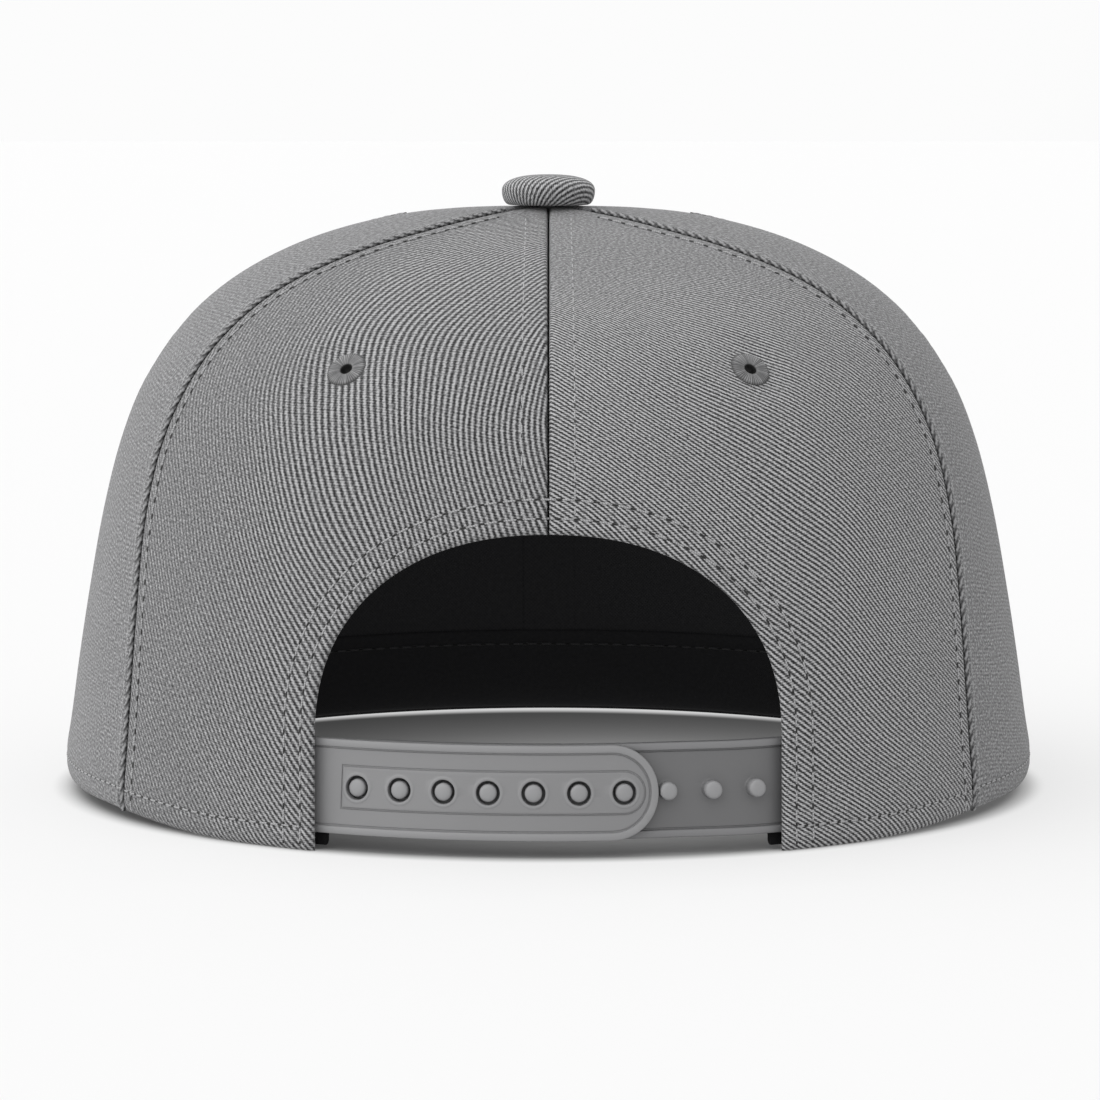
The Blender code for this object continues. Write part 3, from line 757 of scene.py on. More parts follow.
def lay(gore, points):
    """The block under points of a pattern: its face, the way out of it, the relief, the distances."""
    rise, gaps = relief(gore, points)
    azimuth, place = PATTERNS[gore].crown(points[:, 0], points[:, 1])
    face, normal = outer_face(azimuth, place), outward(azimuth, place)
    rim_gap = gaps[3] if gore == 0 else gaps[0]
    at_rim = (1.0 - smooth_step(rim_gap, 0.0, RIM_LEVEL))[:, None]
    way = unit(normal * (1.0 - at_rim) + normal * [1.0, 1.0, 0.0] * at_rim)
    if gore == 0:
        straight = np.zeros_like(normal)
        straight[:, 1] = 1.0 / np.maximum(normal[:, 1], 0.3)
        at_arch = (1.0 - smooth_step(gaps[0], *ARCH_STRAIGHT))[:, None]
        way = way * (1.0 - at_arch) + straight * at_arch
    return face, way, rise, gaps


def panel_grids(gore, cloth, mirror):
    """Outer and inner points of a panel, and its grid on the pattern."""
    grid = patch(SIDES[gore], PANEL_STEPS[gore], *PANEL_COUNTS[gore])
    face, way, rise, gaps = lay(gore, grid.reshape(-1, 2))
    nearest = np.min(gaps, axis=0)
    tucked = INNER_ROLL * (1.0 - smooth_step(nearest, 0.0, INNER_ROLL))
    outer = face + way * rise[:, None]
    inner = face - way * (cloth - tucked)[:, None]
    shape = grid.shape[:2] + (3,)
    return (outer * flip(mirror)).reshape(shape), (inner * flip(mirror)).reshape(shape), grid


def faded(value, amount, start, end):
    """1, less an amount that is gone between two values."""
    return 1.0 - amount * smooth_step(value, start, end)


def ribs_showing(gore, side, grid):
    """How clearly the ribs show, from 0 to 1, at each point of a gore's grid."""
    azimuth, _ = PATTERNS[gore].crown(grid[..., 0], grid[..., 1])
    climb = grid[..., 1] / PATTERNS[gore].length[-1]
    if gore > 0:
        return faded(climb, *RIBS_UP)
    return faded(np.degrees(azimuth), *RIBS_ROUND_SIDE[side]) * faded(climb, *RIBS_UP_BACK[side])


GORE_KINDS = ("back", "side", "front")
panels = {}
for gore, kind in enumerate(GORE_KINDS):
    for side, mirror in LEFT_AND_RIGHT:
        outer, inner, grid = panel_grids(gore, FRONT_CLOTH if kind == "front" else SIDE_CLOTH, mirror)
        twill = BACK_TWILL[side] if gore == 0 else (SIDE_TWILL, FRONT_TWILL)[gore - 1]
        name = "%s_panel_%s" % (kind, side)
        piece = thick_sheet(
            "cloth_" + name, outer, inner, twill,
            flat=grid * [-mirror, 1.0], ribbed=ribs_showing(gore, side, grid),
        )
        register(piece, name)
        panels[name] = piece

# %% [markdown]
# ## Rows of stitches
#
# A lockstitch shows as short lengths of thread that lie on the cloth and dive into a needle
# hole at each end, where it looks dark. A dashed line in the material would be flat from the
# side, so each row is one thin tube: its path rises over the cloth for most of a stitch and
# sinks for the rest. The UV map counts stitches along the tube, and the material reads it to
# paint shade on the thread where it dives into each hole.

# %% Sewing thread
THREAD_LIGHT = colour("a2a2a3")
THREAD_DARK = colour("7c7c7d")
# Painted shade for the needle holes at the ends of each stitch
NEEDLE_HOLE_SHADE = colour("0e0e0f")
# Share of a stitch that lies on the cloth, and turns of the yarn in a stitch
STITCH_SHOWING = 0.70
TWISTS = 7.0


def thread_material(name, light, dark):
    """Spun polyester thread: a soft twist with a faint silky shine, and painted shade that blackens it
    where it dives into the needle holes.
    """
    material, tree, shader = start_material(name, {"Roughness": 0.6, "Sheen Weight": 0.1})
    along, turn = two_axes(tree, uv_map(tree, "stitches"))
    count = calculate(tree, "FRACT", along)
    twist = calculate(tree, "MULTIPLY_ADD", along, TWISTS, turn)
    tone = ramp(tree, wave(tree, twist, 1.0), ((0.0, dark), (1.0, light)))
    # Painted shade: each stitch is near black at its ends, where the thread dives into a needle hole
    sunk = ramp(
        tree, count,
        ((0.0, NEEDLE_HOLE_SHADE), (0.07, WHITE), (STITCH_SHOWING - 0.06, WHITE),
         (STITCH_SHOWING + 0.02, NEEDLE_HOLE_SHADE), (1.0, NEEDLE_HOLE_SHADE)),
    )
    mixed = add(tree, "ShaderNodeVectorMath", {0: tone, 1: sunk}, operation="MULTIPLY")
    tree.links.new(mixed.outputs[0], shader.inputs["Base Color"])
    return material


GREY_THREAD = thread_material("grey_polyester_thread", THREAD_LIGHT, THREAD_DARK)
BLACK_THREAD = thread_material("black_polyester_thread", colour("2a2a2b"), colour("161617"))
# Place along a stitch, height of the tube's middle and its radius, both in mm
STITCH_RINGS = (
    (0.00, -0.02, 0.21), (0.07, 0.03, 0.17), (0.20, 0.09, 0.17), (0.35, 0.12, 0.17),
    (0.50, 0.09, 0.17), (0.63, 0.02, 0.17), (0.71, -0.01, 0.21), (0.86, -0.03, 0.25),
)
STITCH_AROUND = 6


def sew_row(shape, path, ways, pitch_mm):
    """Sew one row along a path in space. ways point out of the cloth."""
    run = run_of(path)
    count = max(1, int(round(run[-1] / (pitch_mm * MM))))
    rings = np.array([(index + part, high, thick) for index in range(count)
                      for part, high, thick in STITCH_RINGS])
    at = rings[:, 0] / count * run[-1]
    way = unit(at_run(at, run, ways))
    middle = at_run(at, run, path) + way * (rings[:, 1] * MM)[:, None]
    side = unit(np.cross(unit(np.gradient(middle, axis=0)), way))

    def place(ring, step):
        turn = 2.0 * math.pi * step / STITCH_AROUND
        rim = side[ring] * math.cos(turn) + way[ring] * math.sin(turn)
        return middle[ring] + rim * rings[ring, 2] * MM, (rings[ring, 0], step / STITCH_AROUND)

    roll_grid(shape, "stitches", len(rings), STITCH_AROUND, place)


def sew(name, rows, material):
    """One piece from several rows of stitches: (path, ways, pitch in mm)."""
    shape = bmesh.new()
    for row in rows:
        sew_row(shape, *row)
    bmesh.ops.holes_fill(shape, edges=shape.edges[:], sides=STITCH_AROUND)
    piece = finish_mesh(shape, name, material, sharp_deg=70.0, merge=0.0001 * MM)
    register(piece)


def on_cloth(gore, line, mirror, above=0.0):
    """A line of a pattern as a path on the finished cloth, with the ways out of it."""
    face, way, rise, _ = lay(gore, along_line(line, spacing=0.35 * MM))
    return (face + way * (rise + above)[:, None]) * flip(mirror), way * flip(mirror)


# %% Sew the panels
ARCH_PITCH_MM = 3.3
HEM_PITCH_MM = 2.4
SEAM_PITCH_MM = 3.0
# How deep a tight row sinks, so that little more than the crests of its stitches show
SUNK_MM = 0.19
# Where rows start above the rim, and the share of the crown's height at which they end
ROW_STARTS_MM = 0.6
ROW_ENDS = 0.985


def offset_seam(gore, seam, distance_mm, start_mm=ROW_STARTS_MM):
    """A row beside a seam, from a height above the rim up to the button."""
    start, end = float(place_at(start_mm * MM)), float(place_at(ROW_ENDS * CROWN_HEIGHT))
    return seam_line(gore, seam, distance_mm * MM, start, end)


def hem_line(gore, azimuths):
    """The row along the rim, a fixed distance above it."""
    flat = PATTERNS[gore].flat(azimuths, 0.0)
    flat[:, 1] += HEM_ROW_MM * MM
    return flat


def gore_rows(gore, mirror):
    """Every row of stitches on one panel."""
    if gore == 0:
        rows = [beside(ARCH, distance * MM) for distance in ARCH_ROWS_MM]
        lines = [(row[row[:, 1] > ROW_STARTS_MM * MM], ARCH_PITCH_MM, 0.0) for row in rows]
        legs = LEG_AZIMUTH + ARCH_ROWS_MM[0] * MM / CROWN_BACK_REACH
        lines += [
            (hem_line(0, np.linspace(legs, rim_azimuths[-1], LINE_POINTS)), HEM_PITCH_MM, 0.0),
            (offset_seam(0, 0, TOPSTITCH_MM, OPENING_HEIGHT / MM + 0.3), SEAM_PITCH_MM, -SUNK_MM),
            (offset_seam(0, 1, -SIDE_TOPSTITCH_MM["back"]), SEAM_PITCH_MM, 0.0),
        ]
    else:
        hem = np.linspace(seam_azimuth(gore, 0.0), seam_azimuth(gore + 1, 0.0), LINE_POINTS)
        near = SIDE_TOPSTITCH_MM["side"] if gore == 1 else TOPSTITCH_MM
        lines = [
            (offset_seam(gore, gore, near), SEAM_PITCH_MM, -SUNK_MM if gore == 1 else 0.0),
            (offset_seam(gore, gore + 1, -TOPSTITCH_MM), SEAM_PITCH_MM, 0.0),
            (hem_line(gore, hem), HEM_PITCH_MM, 0.0),
        ]
    return [(*on_cloth(gore, line, mirror, above * MM), pitch_mm) for line, pitch_mm, above in lines]


for gore, kind in enumerate(GORE_KINDS):
    for side, mirror in LEFT_AND_RIGHT:
        sew("stitching_%s_%s" % (kind, side), gore_rows(gore, mirror), GREY_THREAD)

# %% [markdown]
# The seams between back and side panels look like rope: a heavy twisted thread lies in the
# valley. Two strands that wind round each other are one tube whose section has two lobes
# and turns on its way.

# %% Twisted seam thread
ROPE_RADIUS_MM = 0.48
ROPE_TURN_MM = 2.2
ROPE_STEP_MM = 0.2
ROPE_AROUND = 10
ROPE_OFFSET_MM = 0.2
# How deep the groove between the two strands is, as a share of the radius
ROPE_LOBE = 0.42


def twist_rope(name, middle, top):
    """A two-strand rope along a path, with the section turned a little at every ring."""
    ahead = unit(np.gradient(middle, axis=0))
    side = unit(np.cross(ahead, top))
    up = np.cross(side, ahead)
    turns = run_of(middle) / (ROPE_TURN_MM * MM)

    def place(ring, step):
        turn = 2.0 * math.pi * step / ROPE_AROUND
        groove = ROPE_LOBE * math.sin(turn - 2.0 * math.pi * turns[ring]) ** 2
        rim = math.cos(turn) * side[ring] + math.sin(turn) * up[ring]
        uv = (0.35, turns[ring] + turn / math.pi)
        return middle[ring] + ROPE_RADIUS_MM * MM * (1.0 - groove) * rim, uv

    shape = bmesh.new()
    roll_grid(shape, "stitches", len(middle), ROPE_AROUND, place)
    bmesh.ops.holes_fill(shape, edges=shape.edges[:], sides=ROPE_AROUND)
    piece = finish_mesh(shape, name, SEAM_ROPE, sharp_deg=80.0, merge=0.0001 * MM)
    register(piece)


SEAM_ROPE = thread_material("grey_twisted_seam_thread", colour("8e8e8f"), colour("2c2c2d"))
line = seam_line(1, 1, ROPE_OFFSET_MM * MM, 0.02, float(place_at(0.995 * CROWN_HEIGHT)))
face, way, _, _ = lay(1, along_line(line, spacing=ROPE_STEP_MM * MM))
path = face + way * 0.02 * MM
for side, mirror in LEFT_AND_RIGHT:
    twist_rope("seam_rope_" + side, path * flip(mirror), way * flip(mirror))

# %% [markdown]
# ## Stitched eyelets
#
# Each panel has an air hole, bound with satin stitch: threads laid side by side like the
# spokes of a wheel. Turning a smooth ring would lose the threads, so the ring is a grid that
# is wrapped twice, round the hole and round its own section, and rises a little on every
# thread. First the cloth is punched, so that the hole goes all the way through.

# %% Punch the holes
EYELET_RADIUS_MM = 3.7
BORE_RADIUS_MM = 1.1
BARREL_RADIUS_MM = 2.1
PUNCH_LENGTH = 12.0 * MM


def eyelet_axes(azimuth, mirror):
    """Where an eyelet sits, and the three directions that it is built along."""
    place = float(place_at(EYELET_HEIGHT))
    out = Vector(outward(azimuth, place) * flip(mirror))
    across = Vector((0.0, 0.0, 1.0)).cross(out).normalized()
    seat = Vector(outer_face(azimuth, place) * flip(mirror)) - out * EYELET_DIMPLE
    return seat, across, out.cross(across), out


def punch(piece, kind, mirror):
    """Cut the round hole of one eyelet through a piece and keep the result as its mesh."""
    seat, _, _, out = eyelet_axes(EYELET_SPOTS[kind], mirror)
    radius = BARREL_RADIUS_MM * MM
    bar = bmesh.new()
    bmesh.ops.create_cone(
        bar, cap_ends=True, segments=40, radius1=radius, radius2=radius, depth=PUNCH_LENGTH,
    )
    turn = out.to_track_quat("Z", "Y").to_matrix().to_4x4()
    bmesh.ops.transform(bar, matrix=Matrix.Translation(seat) @ turn, verts=bar.verts[:])
    cutter = as_object("punch", bar)
    hole = piece.modifiers.new("hole", "BOOLEAN")
    hole.operation = "DIFFERENCE"
    hole.object = cutter
    for solver in ("EXACT", "MANIFOLD", "FAST"):
        hole.solver = solver
        graph = bpy.context.evaluated_depsgraph_get()
        made = bpy.data.meshes.new_from_object(piece.evaluated_get(graph))
        # A failed cut leaves the bar standing out of the cloth
        steps = [vertex.co - seat for vertex in made.vertices]
        near = [step.dot(out) for step in steps if (step - out * step.dot(out)).length < 1.1 * radius]
        if near and max(near) < 0.35 * PUNCH_LENGTH:
            break
        print("the", solver, "solver left", piece.name, "whole")
    piece.modifiers.clear()
    piece.data = made
    bpy.data.objects.remove(cutter)


for kind in EYELET_SPOTS:
    for side, mirror in LEFT_AND_RIGHT:
        punch(panels["%s_panel_%s" % (kind, side)], kind, mirror)
print("punched", 2 * len(EYELET_SPOTS), "holes")

# %% Satin-stitched rings
SATIN_THREADS = 46
STEPS_PER_THREAD = 4
SATIN_RISE_MM = 0.07
# The ring follows the crown, which is as round as a ball of this radius here
CROWN_BULGE_MM = 70.0
# Section of the binding, as radius and height above the cloth, once round
SATIN_SECTION = (
    (1.10, 0.02), (1.22, 0.18), (1.50, 0.31), (2.00, 0.37), (2.60, 0.37), (3.10, 0.32),
    (3.48, 0.21), (3.70, 0.03), (3.60, -0.12), (2.60, -0.14), (2.02, -0.20),
)
# The same behind the cloth, which stands this far back
WALL_MM, FRONT_WALL_MM = 1.40, 1.70
SATIN_BACK = (
    (2.02, -0.2), (2.6, -0.3), (3.4, -0.45), (3.2, -0.8), (2.2, -0.95), (1.3, -0.75), (1.1, -0.3),
)


def satin_material():
    """Rayon embroidery thread: laid flat and close, each thread a little lighter or darker at random,
    with painted shade between the threads and a painted highlight along each crest.
    """
    material, tree, shader = start_material(
        "grey_satin_stitch", {"Roughness": 0.5, "Sheen Weight": 0.1},
    )
    round_ring, round_section = two_axes(tree, uv_map(tree, "threads"))
    # Painted shade and highlight: darker between the threads, lighter along each thread's crest
    thread_crest_shading = wave(tree, round_ring, 1.0)
    number = calculate(tree, "FLOOR", calculate(tree, "ADD", round_ring, 0.5))
    chance = add(tree, "ShaderNodeTexWhiteNoise", {"W": number}, noise_dimensions="1D").outputs["Value"]
    shade = calculate(
        tree, "MULTIPLY_ADD", chance, 0.45, calculate(tree, "MULTIPLY", thread_crest_shading, 0.55),
    )
    tone = ramp(
        tree, shade, ((0.0, colour("2b2b2c")), (0.45, colour("5e5e5f")), (1.0, colour("8e8e8f"))),
    )
    # Painted shade: black in the hole and under the outer edge, where the thread dives into the cloth
    depth = ramp(
        tree, round_section,
        ((0.0, colour("303030")), (0.06, colour("e0e0e0")), (0.28, WHITE),
         (0.34, colour("b0b0b0")), (0.40, colour("303030"))),
    )
    shaded = add(tree, "ShaderNodeVectorMath", {0: tone, 1: depth}, operation="MULTIPLY")
    tree.links.new(shaded.outputs[0], shader.inputs["Base Color"])
    return material


SATIN = satin_material()


def make_eyelet(name, kind, mirror):
    """The bound hole of one panel."""
    seat, across, up, out = eyelet_axes(EYELET_SPOTS[kind], mirror)
    wall_mm = FRONT_WALL_MM if kind == "front" else WALL_MM
    section_points = list(SATIN_SECTION) + [(r, h - wall_mm) for r, h in SATIN_BACK]
    count = len(section_points)

    def place(step, row):
        turn = 2.0 * math.pi * step / (SATIN_THREADS * STEPS_PER_THREAD)
        radius, high = section_points[row % count]
        if high > 0.0:
            ridge = SATIN_RISE_MM * math.cos(SATIN_THREADS * turn)
            high += ridge * smooth_step(radius, BORE_RADIUS_MM, 0.6 * EYELET_RADIUS_MM)
            radius += 0.7 * ridge * smooth_step(radius, 3.0, EYELET_RADIUS_MM)
        sag = 0.5 * radius**2 / CROWN_BULGE_MM
        way = across * math.cos(turn) + up * math.sin(turn)
        point = seat + way * radius * MM + out * (high - sag) * MM
        return point, (step / STEPS_PER_THREAD, row / count)

    shape = bmesh.new()
    roll_grid(shape, "threads", SATIN_THREADS * STEPS_PER_THREAD + 1, count, place, 0.0005 * MM)
    piece = finish_mesh(shape, "bound_" + name, SATIN, sharp_deg=80.0, merge=0.0005 * MM)
    register(piece, name)


for kind in EYELET_SPOTS:
    for side, mirror in LEFT_AND_RIGHT:
        make_eyelet("eyelet_%s_%s" % (kind, side), kind, mirror)

# %% [markdown]
# ## Covered button
#
# The button is a metal shell with a disc of the same twill pulled over it. A profile spun
# round the crown's axis gives the dome, the rolled edge and the shank. The cloth's pattern is
# a disc laid on the crest, so its ribs fan out over the front, as on the real one.

# %% Button
BUTTON_RADIUS = 0.5 * (button_high.x - button_low.x)
BUTTON_SEAT = CROWN_HEIGHT + CLEARANCE
BUTTON_CREST = button_high.z
BUTTON_SPIN_STEPS = 96


def button_profile():
    """Radius and height from the crest over the edge to the seat, then the shank and the washer."""
    belly = BUTTON_SEAT + 0.46 * (BUTTON_CREST - BUTTON_SEAT)
    turns = np.radians(np.linspace(0.0, 90.0, 19))
    profile = [(BUTTON_RADIUS * math.sin(turn) ** 0.80,
                belly + (BUTTON_CREST - belly) * math.cos(turn) ** 0.85) for turn in turns]
    drop = belly - BUTTON_SEAT
    for turn in np.radians(np.linspace(12.0, 84.0, 7)):
        profile.append((BUTTON_RADIUS * (0.84 + 0.16 * math.cos(turn)), belly - drop * math.sin(turn)))
    inside = button_low.z
    profile += [(0.80 * BUTTON_RADIUS, BUTTON_SEAT), (1.8 * MM, BUTTON_SEAT),
                (1.8 * MM, inside + 1.2 * MM), (4.2 * MM, inside + 1.2 * MM),
                (4.2 * MM, inside + 0.4 * MM), (3.6 * MM, inside), (0.0, inside)]
    return profile


def spun(profile, steps):
    """Spin a profile of (radius, height) once round the crown's axis."""
    shape = bmesh.new()
    chain = [shape.verts.new((radius, AXIS_Y, height)) for radius, height in profile]
    edges = [shape.edges.new(pair) for pair in zip(chain, chain[1:])]
    bmesh.ops.spin(
        shape, geom=chain + edges, cent=(0.0, AXIS_Y, 0.0), axis=(0.0, 0.0, 1.0),
        angle=2.0 * math.pi, steps=steps, use_merge=True,
    )
    bmesh.ops.remove_doubles(shape, verts=shape.verts[:], dist=0.01 * MM)
    return shape


profile = np.array(button_profile())
profile_run = run_of(profile)
dome = spun(profile, BUTTON_SPIN_STEPS)
layer = dome.loops.layers.uv.new("cloth_mm")
showing = dome.verts.layers.float.new("ribbed")
spots = {}
for vertex in dome.verts:
    level = Vector((vertex.co.x, vertex.co.y - AXIS_Y))
    nearest = np.argmin(np.hypot(profile[:, 0] - level.length, profile[:, 1] - vertex.co.z))
    way = level.normalized() if level.length > 0.01 * MM else Vector((0.0, 0.0))
    spots[vertex] = (-way.x * profile_run[nearest] / MM, -way.y * profile_run[nearest] / MM)
    vertex[showing] = 0.25 + 1.15 * float(smooth_step(profile_run[nearest], 3.0 * MM, 7.0 * MM))
write_uvs(dome.faces, layer, spots)
BUTTON_TWILL = twill_material("cotton_twill_button", -38.0, bend=0.5, pitch_mm=0.95, strength=0.75)
button = finish_mesh(dome, "covered_button", BUTTON_TWILL, sharp_deg=45.0)
register(button, "top_button")

# %% [markdown]
# ## Snap straps
#
# Both straps are injection moulded: a flat strip with a raised rim, a long low plate round
# the holes, and a lip at each hole. They were made flat and bend when the cap is closed, so
# we model them flat too. Every step of the relief is a pair of closed outlines, one higher
# than the other, bridged by a band of faces. The level parts between them are filled, and
# then the whole strap is cut into short lengths and laid along the curve of the crown. Every
# vertex also notes how much painted highlight the plastic gets there, on its crests.

# %% Strap sizes
STRAP_THICKNESS = 1.4 * MM
STRAP_BOTTOM, STRAP_TOP = strap_low.z, strap_high.z
STRAP_HALF = 0.5 * (STRAP_TOP - STRAP_BOTTOM)
STRAP_MIDDLE = 0.5 * (STRAP_TOP + STRAP_BOTTOM)
STRAP_TAB = 10.0 * MM
HOLE_RADIUS = 2.1 * MM
HOLE_COUNT = 7
STUD_RADIUS = 1.55 * MM
STUD_COUNT = 10
STUD_PITCH = 8.0 * MM
FIRST_STUD = 34.6 * MM
STRAP_PAST_STUD = 4.4 * MM
STRAP_RADIUS = CROWN_BACK_REACH - STRAP_DEPTH
UNDER_DEPTH = STRAP_DEPTH + STRAP_THICKNESS + CLEARANCE
STRAP_LEG = float(azimuth_of(OPENING_HALF_WIDTH, 0.0)) * STRAP_RADIUS
HOLE_STRAP_TIP = FIRST_STUD - STUD_PITCH * HOLE_COUNT + STUD_RADIUS + CLEARANCE
STUD_ALONG = [FIRST_STUD - STUD_PITCH * index for index in range(STUD_COUNT)]

# Each profile is (distance inwards, height above the back of the strap), in mm
RIM_PROFILE = (
    (0.18, 0.0), (0.0, 0.18), (0.0, 1.16), (0.07, 1.33), (0.24, 1.40), (1.14, 1.40),
    (1.27, 1.34), (1.34, 1.18), (1.38, 0.90), (1.62, 0.90), (1.72, 1.06),
)
PLATE_PROFILE = (
    (-0.36, 1.06), (-0.26, 0.90), (-0.04, 0.90), (0.0, 1.10), (0.07, 1.24), (0.20, 1.28),
)
HOLE_PROFILE = (
    (-0.66, 1.28), (-0.50, 1.38), (-0.24, 1.40), (-0.06, 1.34), (0.0, 1.20), (0.0, 0.12),
    (-0.12, 0.0),
)
STUD_PROFILE = (
    (-0.34, 1.06), (-0.12, 1.12), (0.0, 1.28), (0.0, 2.75), (0.06, 2.96), (0.24, 3.16),
    (0.55, 3.28), (0.95, 3.34), (1.30, 3.36),
)
STUD_PEAK = 3.37 * MM
PLATE_HALF_MM = 3.55
PLATE_END_MM = 2.8
# Heights between which a painted highlight makes the plastic paler: on the rims and lips, and up the
# studs
RIM_CREST = (1.26 * MM, 1.40 * MM)
STUD_CREST = (1.5 * MM, 2.9 * MM)
BEND_STEP = 1.5 * MM
CIRCLE_POINTS = 40
ROUND_POINTS = 28


# %% Outlines
def strap_outline(root, tip, half, inset):
    """A strip from a square root to a round tip, moved inwards, as (along, up) points."""
    way = math.copysign(1.0, tip - root)
    centre = tip - way * half
    turns = np.linspace(0.5 * math.pi, -0.5 * math.pi, ROUND_POINTS)
    radius = half - inset
    points = [(root + way * inset, radius), *((centre + way * radius * math.cos(turn),
              radius * math.sin(turn)) for turn in turns), (root + way * inset, -radius)]
    return points


def circle_outline(along, radius, inset):
    """A circle round a point of the strap's middle line."""
    turns = np.linspace(0.0, 2.0 * math.pi, CIRCLE_POINTS, endpoint=False)
    radius -= inset
    return [(along + radius * math.cos(turn), radius * math.sin(turn)) for turn in turns]


def add_loop(shape, points, height):
    """A closed chain of edges at one height."""
    chain = [shape.verts.new((along, up, height)) for along, up in points]
    return [shape.edges.new((chain[index - 1], chain[index])) for index in range(len(chain))]


def add_steps(shape, outline, profile_mm):
    """Bridge the outlines of a profile, one after another. Returns the first and last loop."""
    loops = [add_loop(shape, outline(inset * MM), height * MM) for inset, height in profile_mm]
    for lower, upper in zip(loops, loops[1:]):
        bmesh.ops.bridge_loops(shape, edges=lower + upper)
    return loops[0], loops[-1]


def fill(shape, loops):
    """Fill the level area between an outer loop and the loops inside it."""
    bmesh.ops.triangle_fill(
        shape, edges=[edge for loop in loops for edge in loop], use_beauty=True,
        use_dissolve=False, normal=(0.0, 0.0, 1.0),
    )


def bend_strap(shape, low, high, depth_at, rim_highlight_share):
    """Cut the flat strap into short lengths and lay it along the crown."""
    for along in np.arange(low + 1.0 * MM, high, BEND_STEP):
        bmesh.ops.bisect_plane(
            shape, geom=shape.verts[:] + shape.edges[:] + shape.faces[:],
            plane_co=(along, 0.0, 0.0), plane_no=(1.0, 0.0, 0.0), dist=0.005 * MM,
        )
    # Painted highlight: each vertex notes how much paler its crest is drawn
    crest_highlight = shape.verts.layers.float.new("crest_highlight")
    for vertex in shape.verts:
        along, up, thick = vertex.co
        vertex[crest_highlight] = float(rim_highlight_share * smooth_step(thick, *RIM_CREST)
                               + (1.0 - rim_highlight_share) * smooth_step(thick, *STUD_CREST))
        azimuth = along / STRAP_RADIUS
        height = STRAP_MIDDLE + up
        depth = depth_at(along) + STRAP_THICKNESS - thick
        vertex.co = in_room(azimuth, crown_reach(azimuth, place_at(height)) - depth, height)


def under_depth(along):
    """The strap with the studs starts as deep as the other, then passes under it."""
    passed = float(smooth_step(along, -0.95 * STRAP_LEG, HOLE_STRAP_TIP - CLEARANCE))
    return STRAP_DEPTH + passed * (UNDER_DEPTH - STRAP_DEPTH)


# %% Moulded plastic
ETCHED_GRAIN = 0.35 * MM
FLOW_MARKS = 14.0 * MM


def strap_material(name, tone):
    """Polyethylene, injection moulded against a finely etched steel tool: satin, a little waxy."""
    material, tree, shader = start_material(name, {"IOR": 1.51})
    place = add(tree, "ShaderNodeTexCoord").outputs["Object"]
    etched, flow = (
        add(
            tree, "ShaderNodeTexNoise", {"Vector": place}, {"Scale": 1.0 / size, "Detail": 2.0},
        ).outputs["Fac"] for size in (ETCHED_GRAIN, FLOW_MARKS)
    )
    mixed = calculate(tree, "MULTIPLY_ADD", flow, 0.10, 0.95)
    # Painted highlight: the crests of the rims, lips and studs are drawn paler, where light catches
    # them
    crest_highlight = add(tree, "ShaderNodeAttribute", attribute_name="crest_highlight").outputs["Fac"]
    mixed = calculate(tree, "ADD", crest_highlight, mixed)
    base = add(tree, "ShaderNodeVectorMath", {"Scale": mixed}, {0: tone[:3]}, operation="SCALE")
    tree.links.new(base.outputs[0], shader.inputs["Base Color"])
    rough = calculate(tree, "MULTIPLY_ADD", etched, 0.14, 0.36)
    tree.links.new(rough, shader.inputs["Roughness"])
    emboss(tree, shader, etched, 0.25, 0.02 * MM)
    return material


# The stud strap is the same polyethylene as the other; its darker tone is painted shade
STRAP_PLASTIC = strap_material("moulded_polyethylene_strap", colour("777778"))
STUD_PLASTIC_SHADED = strap_material("moulded_polyethylene_studs_painted_shade", colour("5f5f60"))

# %% The strap with the holes
hole_root = STRAP_LEG + STRAP_TAB
flat_strap = bmesh.new()
back, field = add_steps(
    flat_strap, lambda inset: strap_outline(hole_root, HOLE_STRAP_TIP, STRAP_HALF, inset), RIM_PROFILE,
)
plate_root = STUD_ALONG[0] + PLATE_END_MM * MM
plate_tip = STUD_ALONG[HOLE_COUNT - 1] - PLATE_HALF_MM * MM
plate_low, plate_high = add_steps(
    flat_strap, lambda inset: strap_outline(plate_root, plate_tip, PLATE_HALF_MM * MM, inset),
    PLATE_PROFILE,
)
lips, ends = [], []
for along in STUD_ALONG[:HOLE_COUNT]:
    lip, end = add_steps(
        flat_strap, lambda inset: circle_outline(along, HOLE_RADIUS, inset), HOLE_PROFILE,
    )
    lips.append(lip)
    ends.append(end)
fill(flat_strap, [field, plate_low])
fill(flat_strap, [plate_high, *lips])
fill(flat_strap, [back, *ends])
bend_strap(flat_strap, HOLE_STRAP_TIP, hole_root, lambda along: STRAP_DEPTH, rim_highlight_share=0.14)
hole_strap = finish_mesh(flat_strap, "moulded_strap_with_holes", STRAP_PLASTIC, 32.0, 0.001 * MM)
register(hole_strap, "snap_strap_with_holes")

# %% The strap with the studs
stud_root = -STRAP_LEG - STRAP_TAB
stud_tip = FIRST_STUD + STRAP_PAST_STUD
flat_strap = bmesh.new()
back, field = add_steps(
    flat_strap, lambda inset: strap_outline(stud_root, stud_tip, STRAP_HALF, inset), RIM_PROFILE,
)
rings = []
for along in STUD_ALONG:
    foot, crest = add_steps(
        flat_strap, lambda inset: circle_outline(along, STUD_RADIUS, inset), STUD_PROFILE,
    )
    rings.append(foot)
    bmesh.ops.pointmerge(
        flat_strap, verts=[edge.verts[0] for edge in crest], merge_co=(along, 0.0, STUD_PEAK),
    )
fill(flat_strap, [field, *rings])
fill(flat_strap, [back])
bend_strap(flat_strap, stud_root, stud_tip, under_depth, rim_highlight_share=0.45)
stud_strap = finish_mesh(flat_strap, "moulded_strap_with_studs", STUD_PLASTIC_SHADED, 32.0, 0.001 * MM)
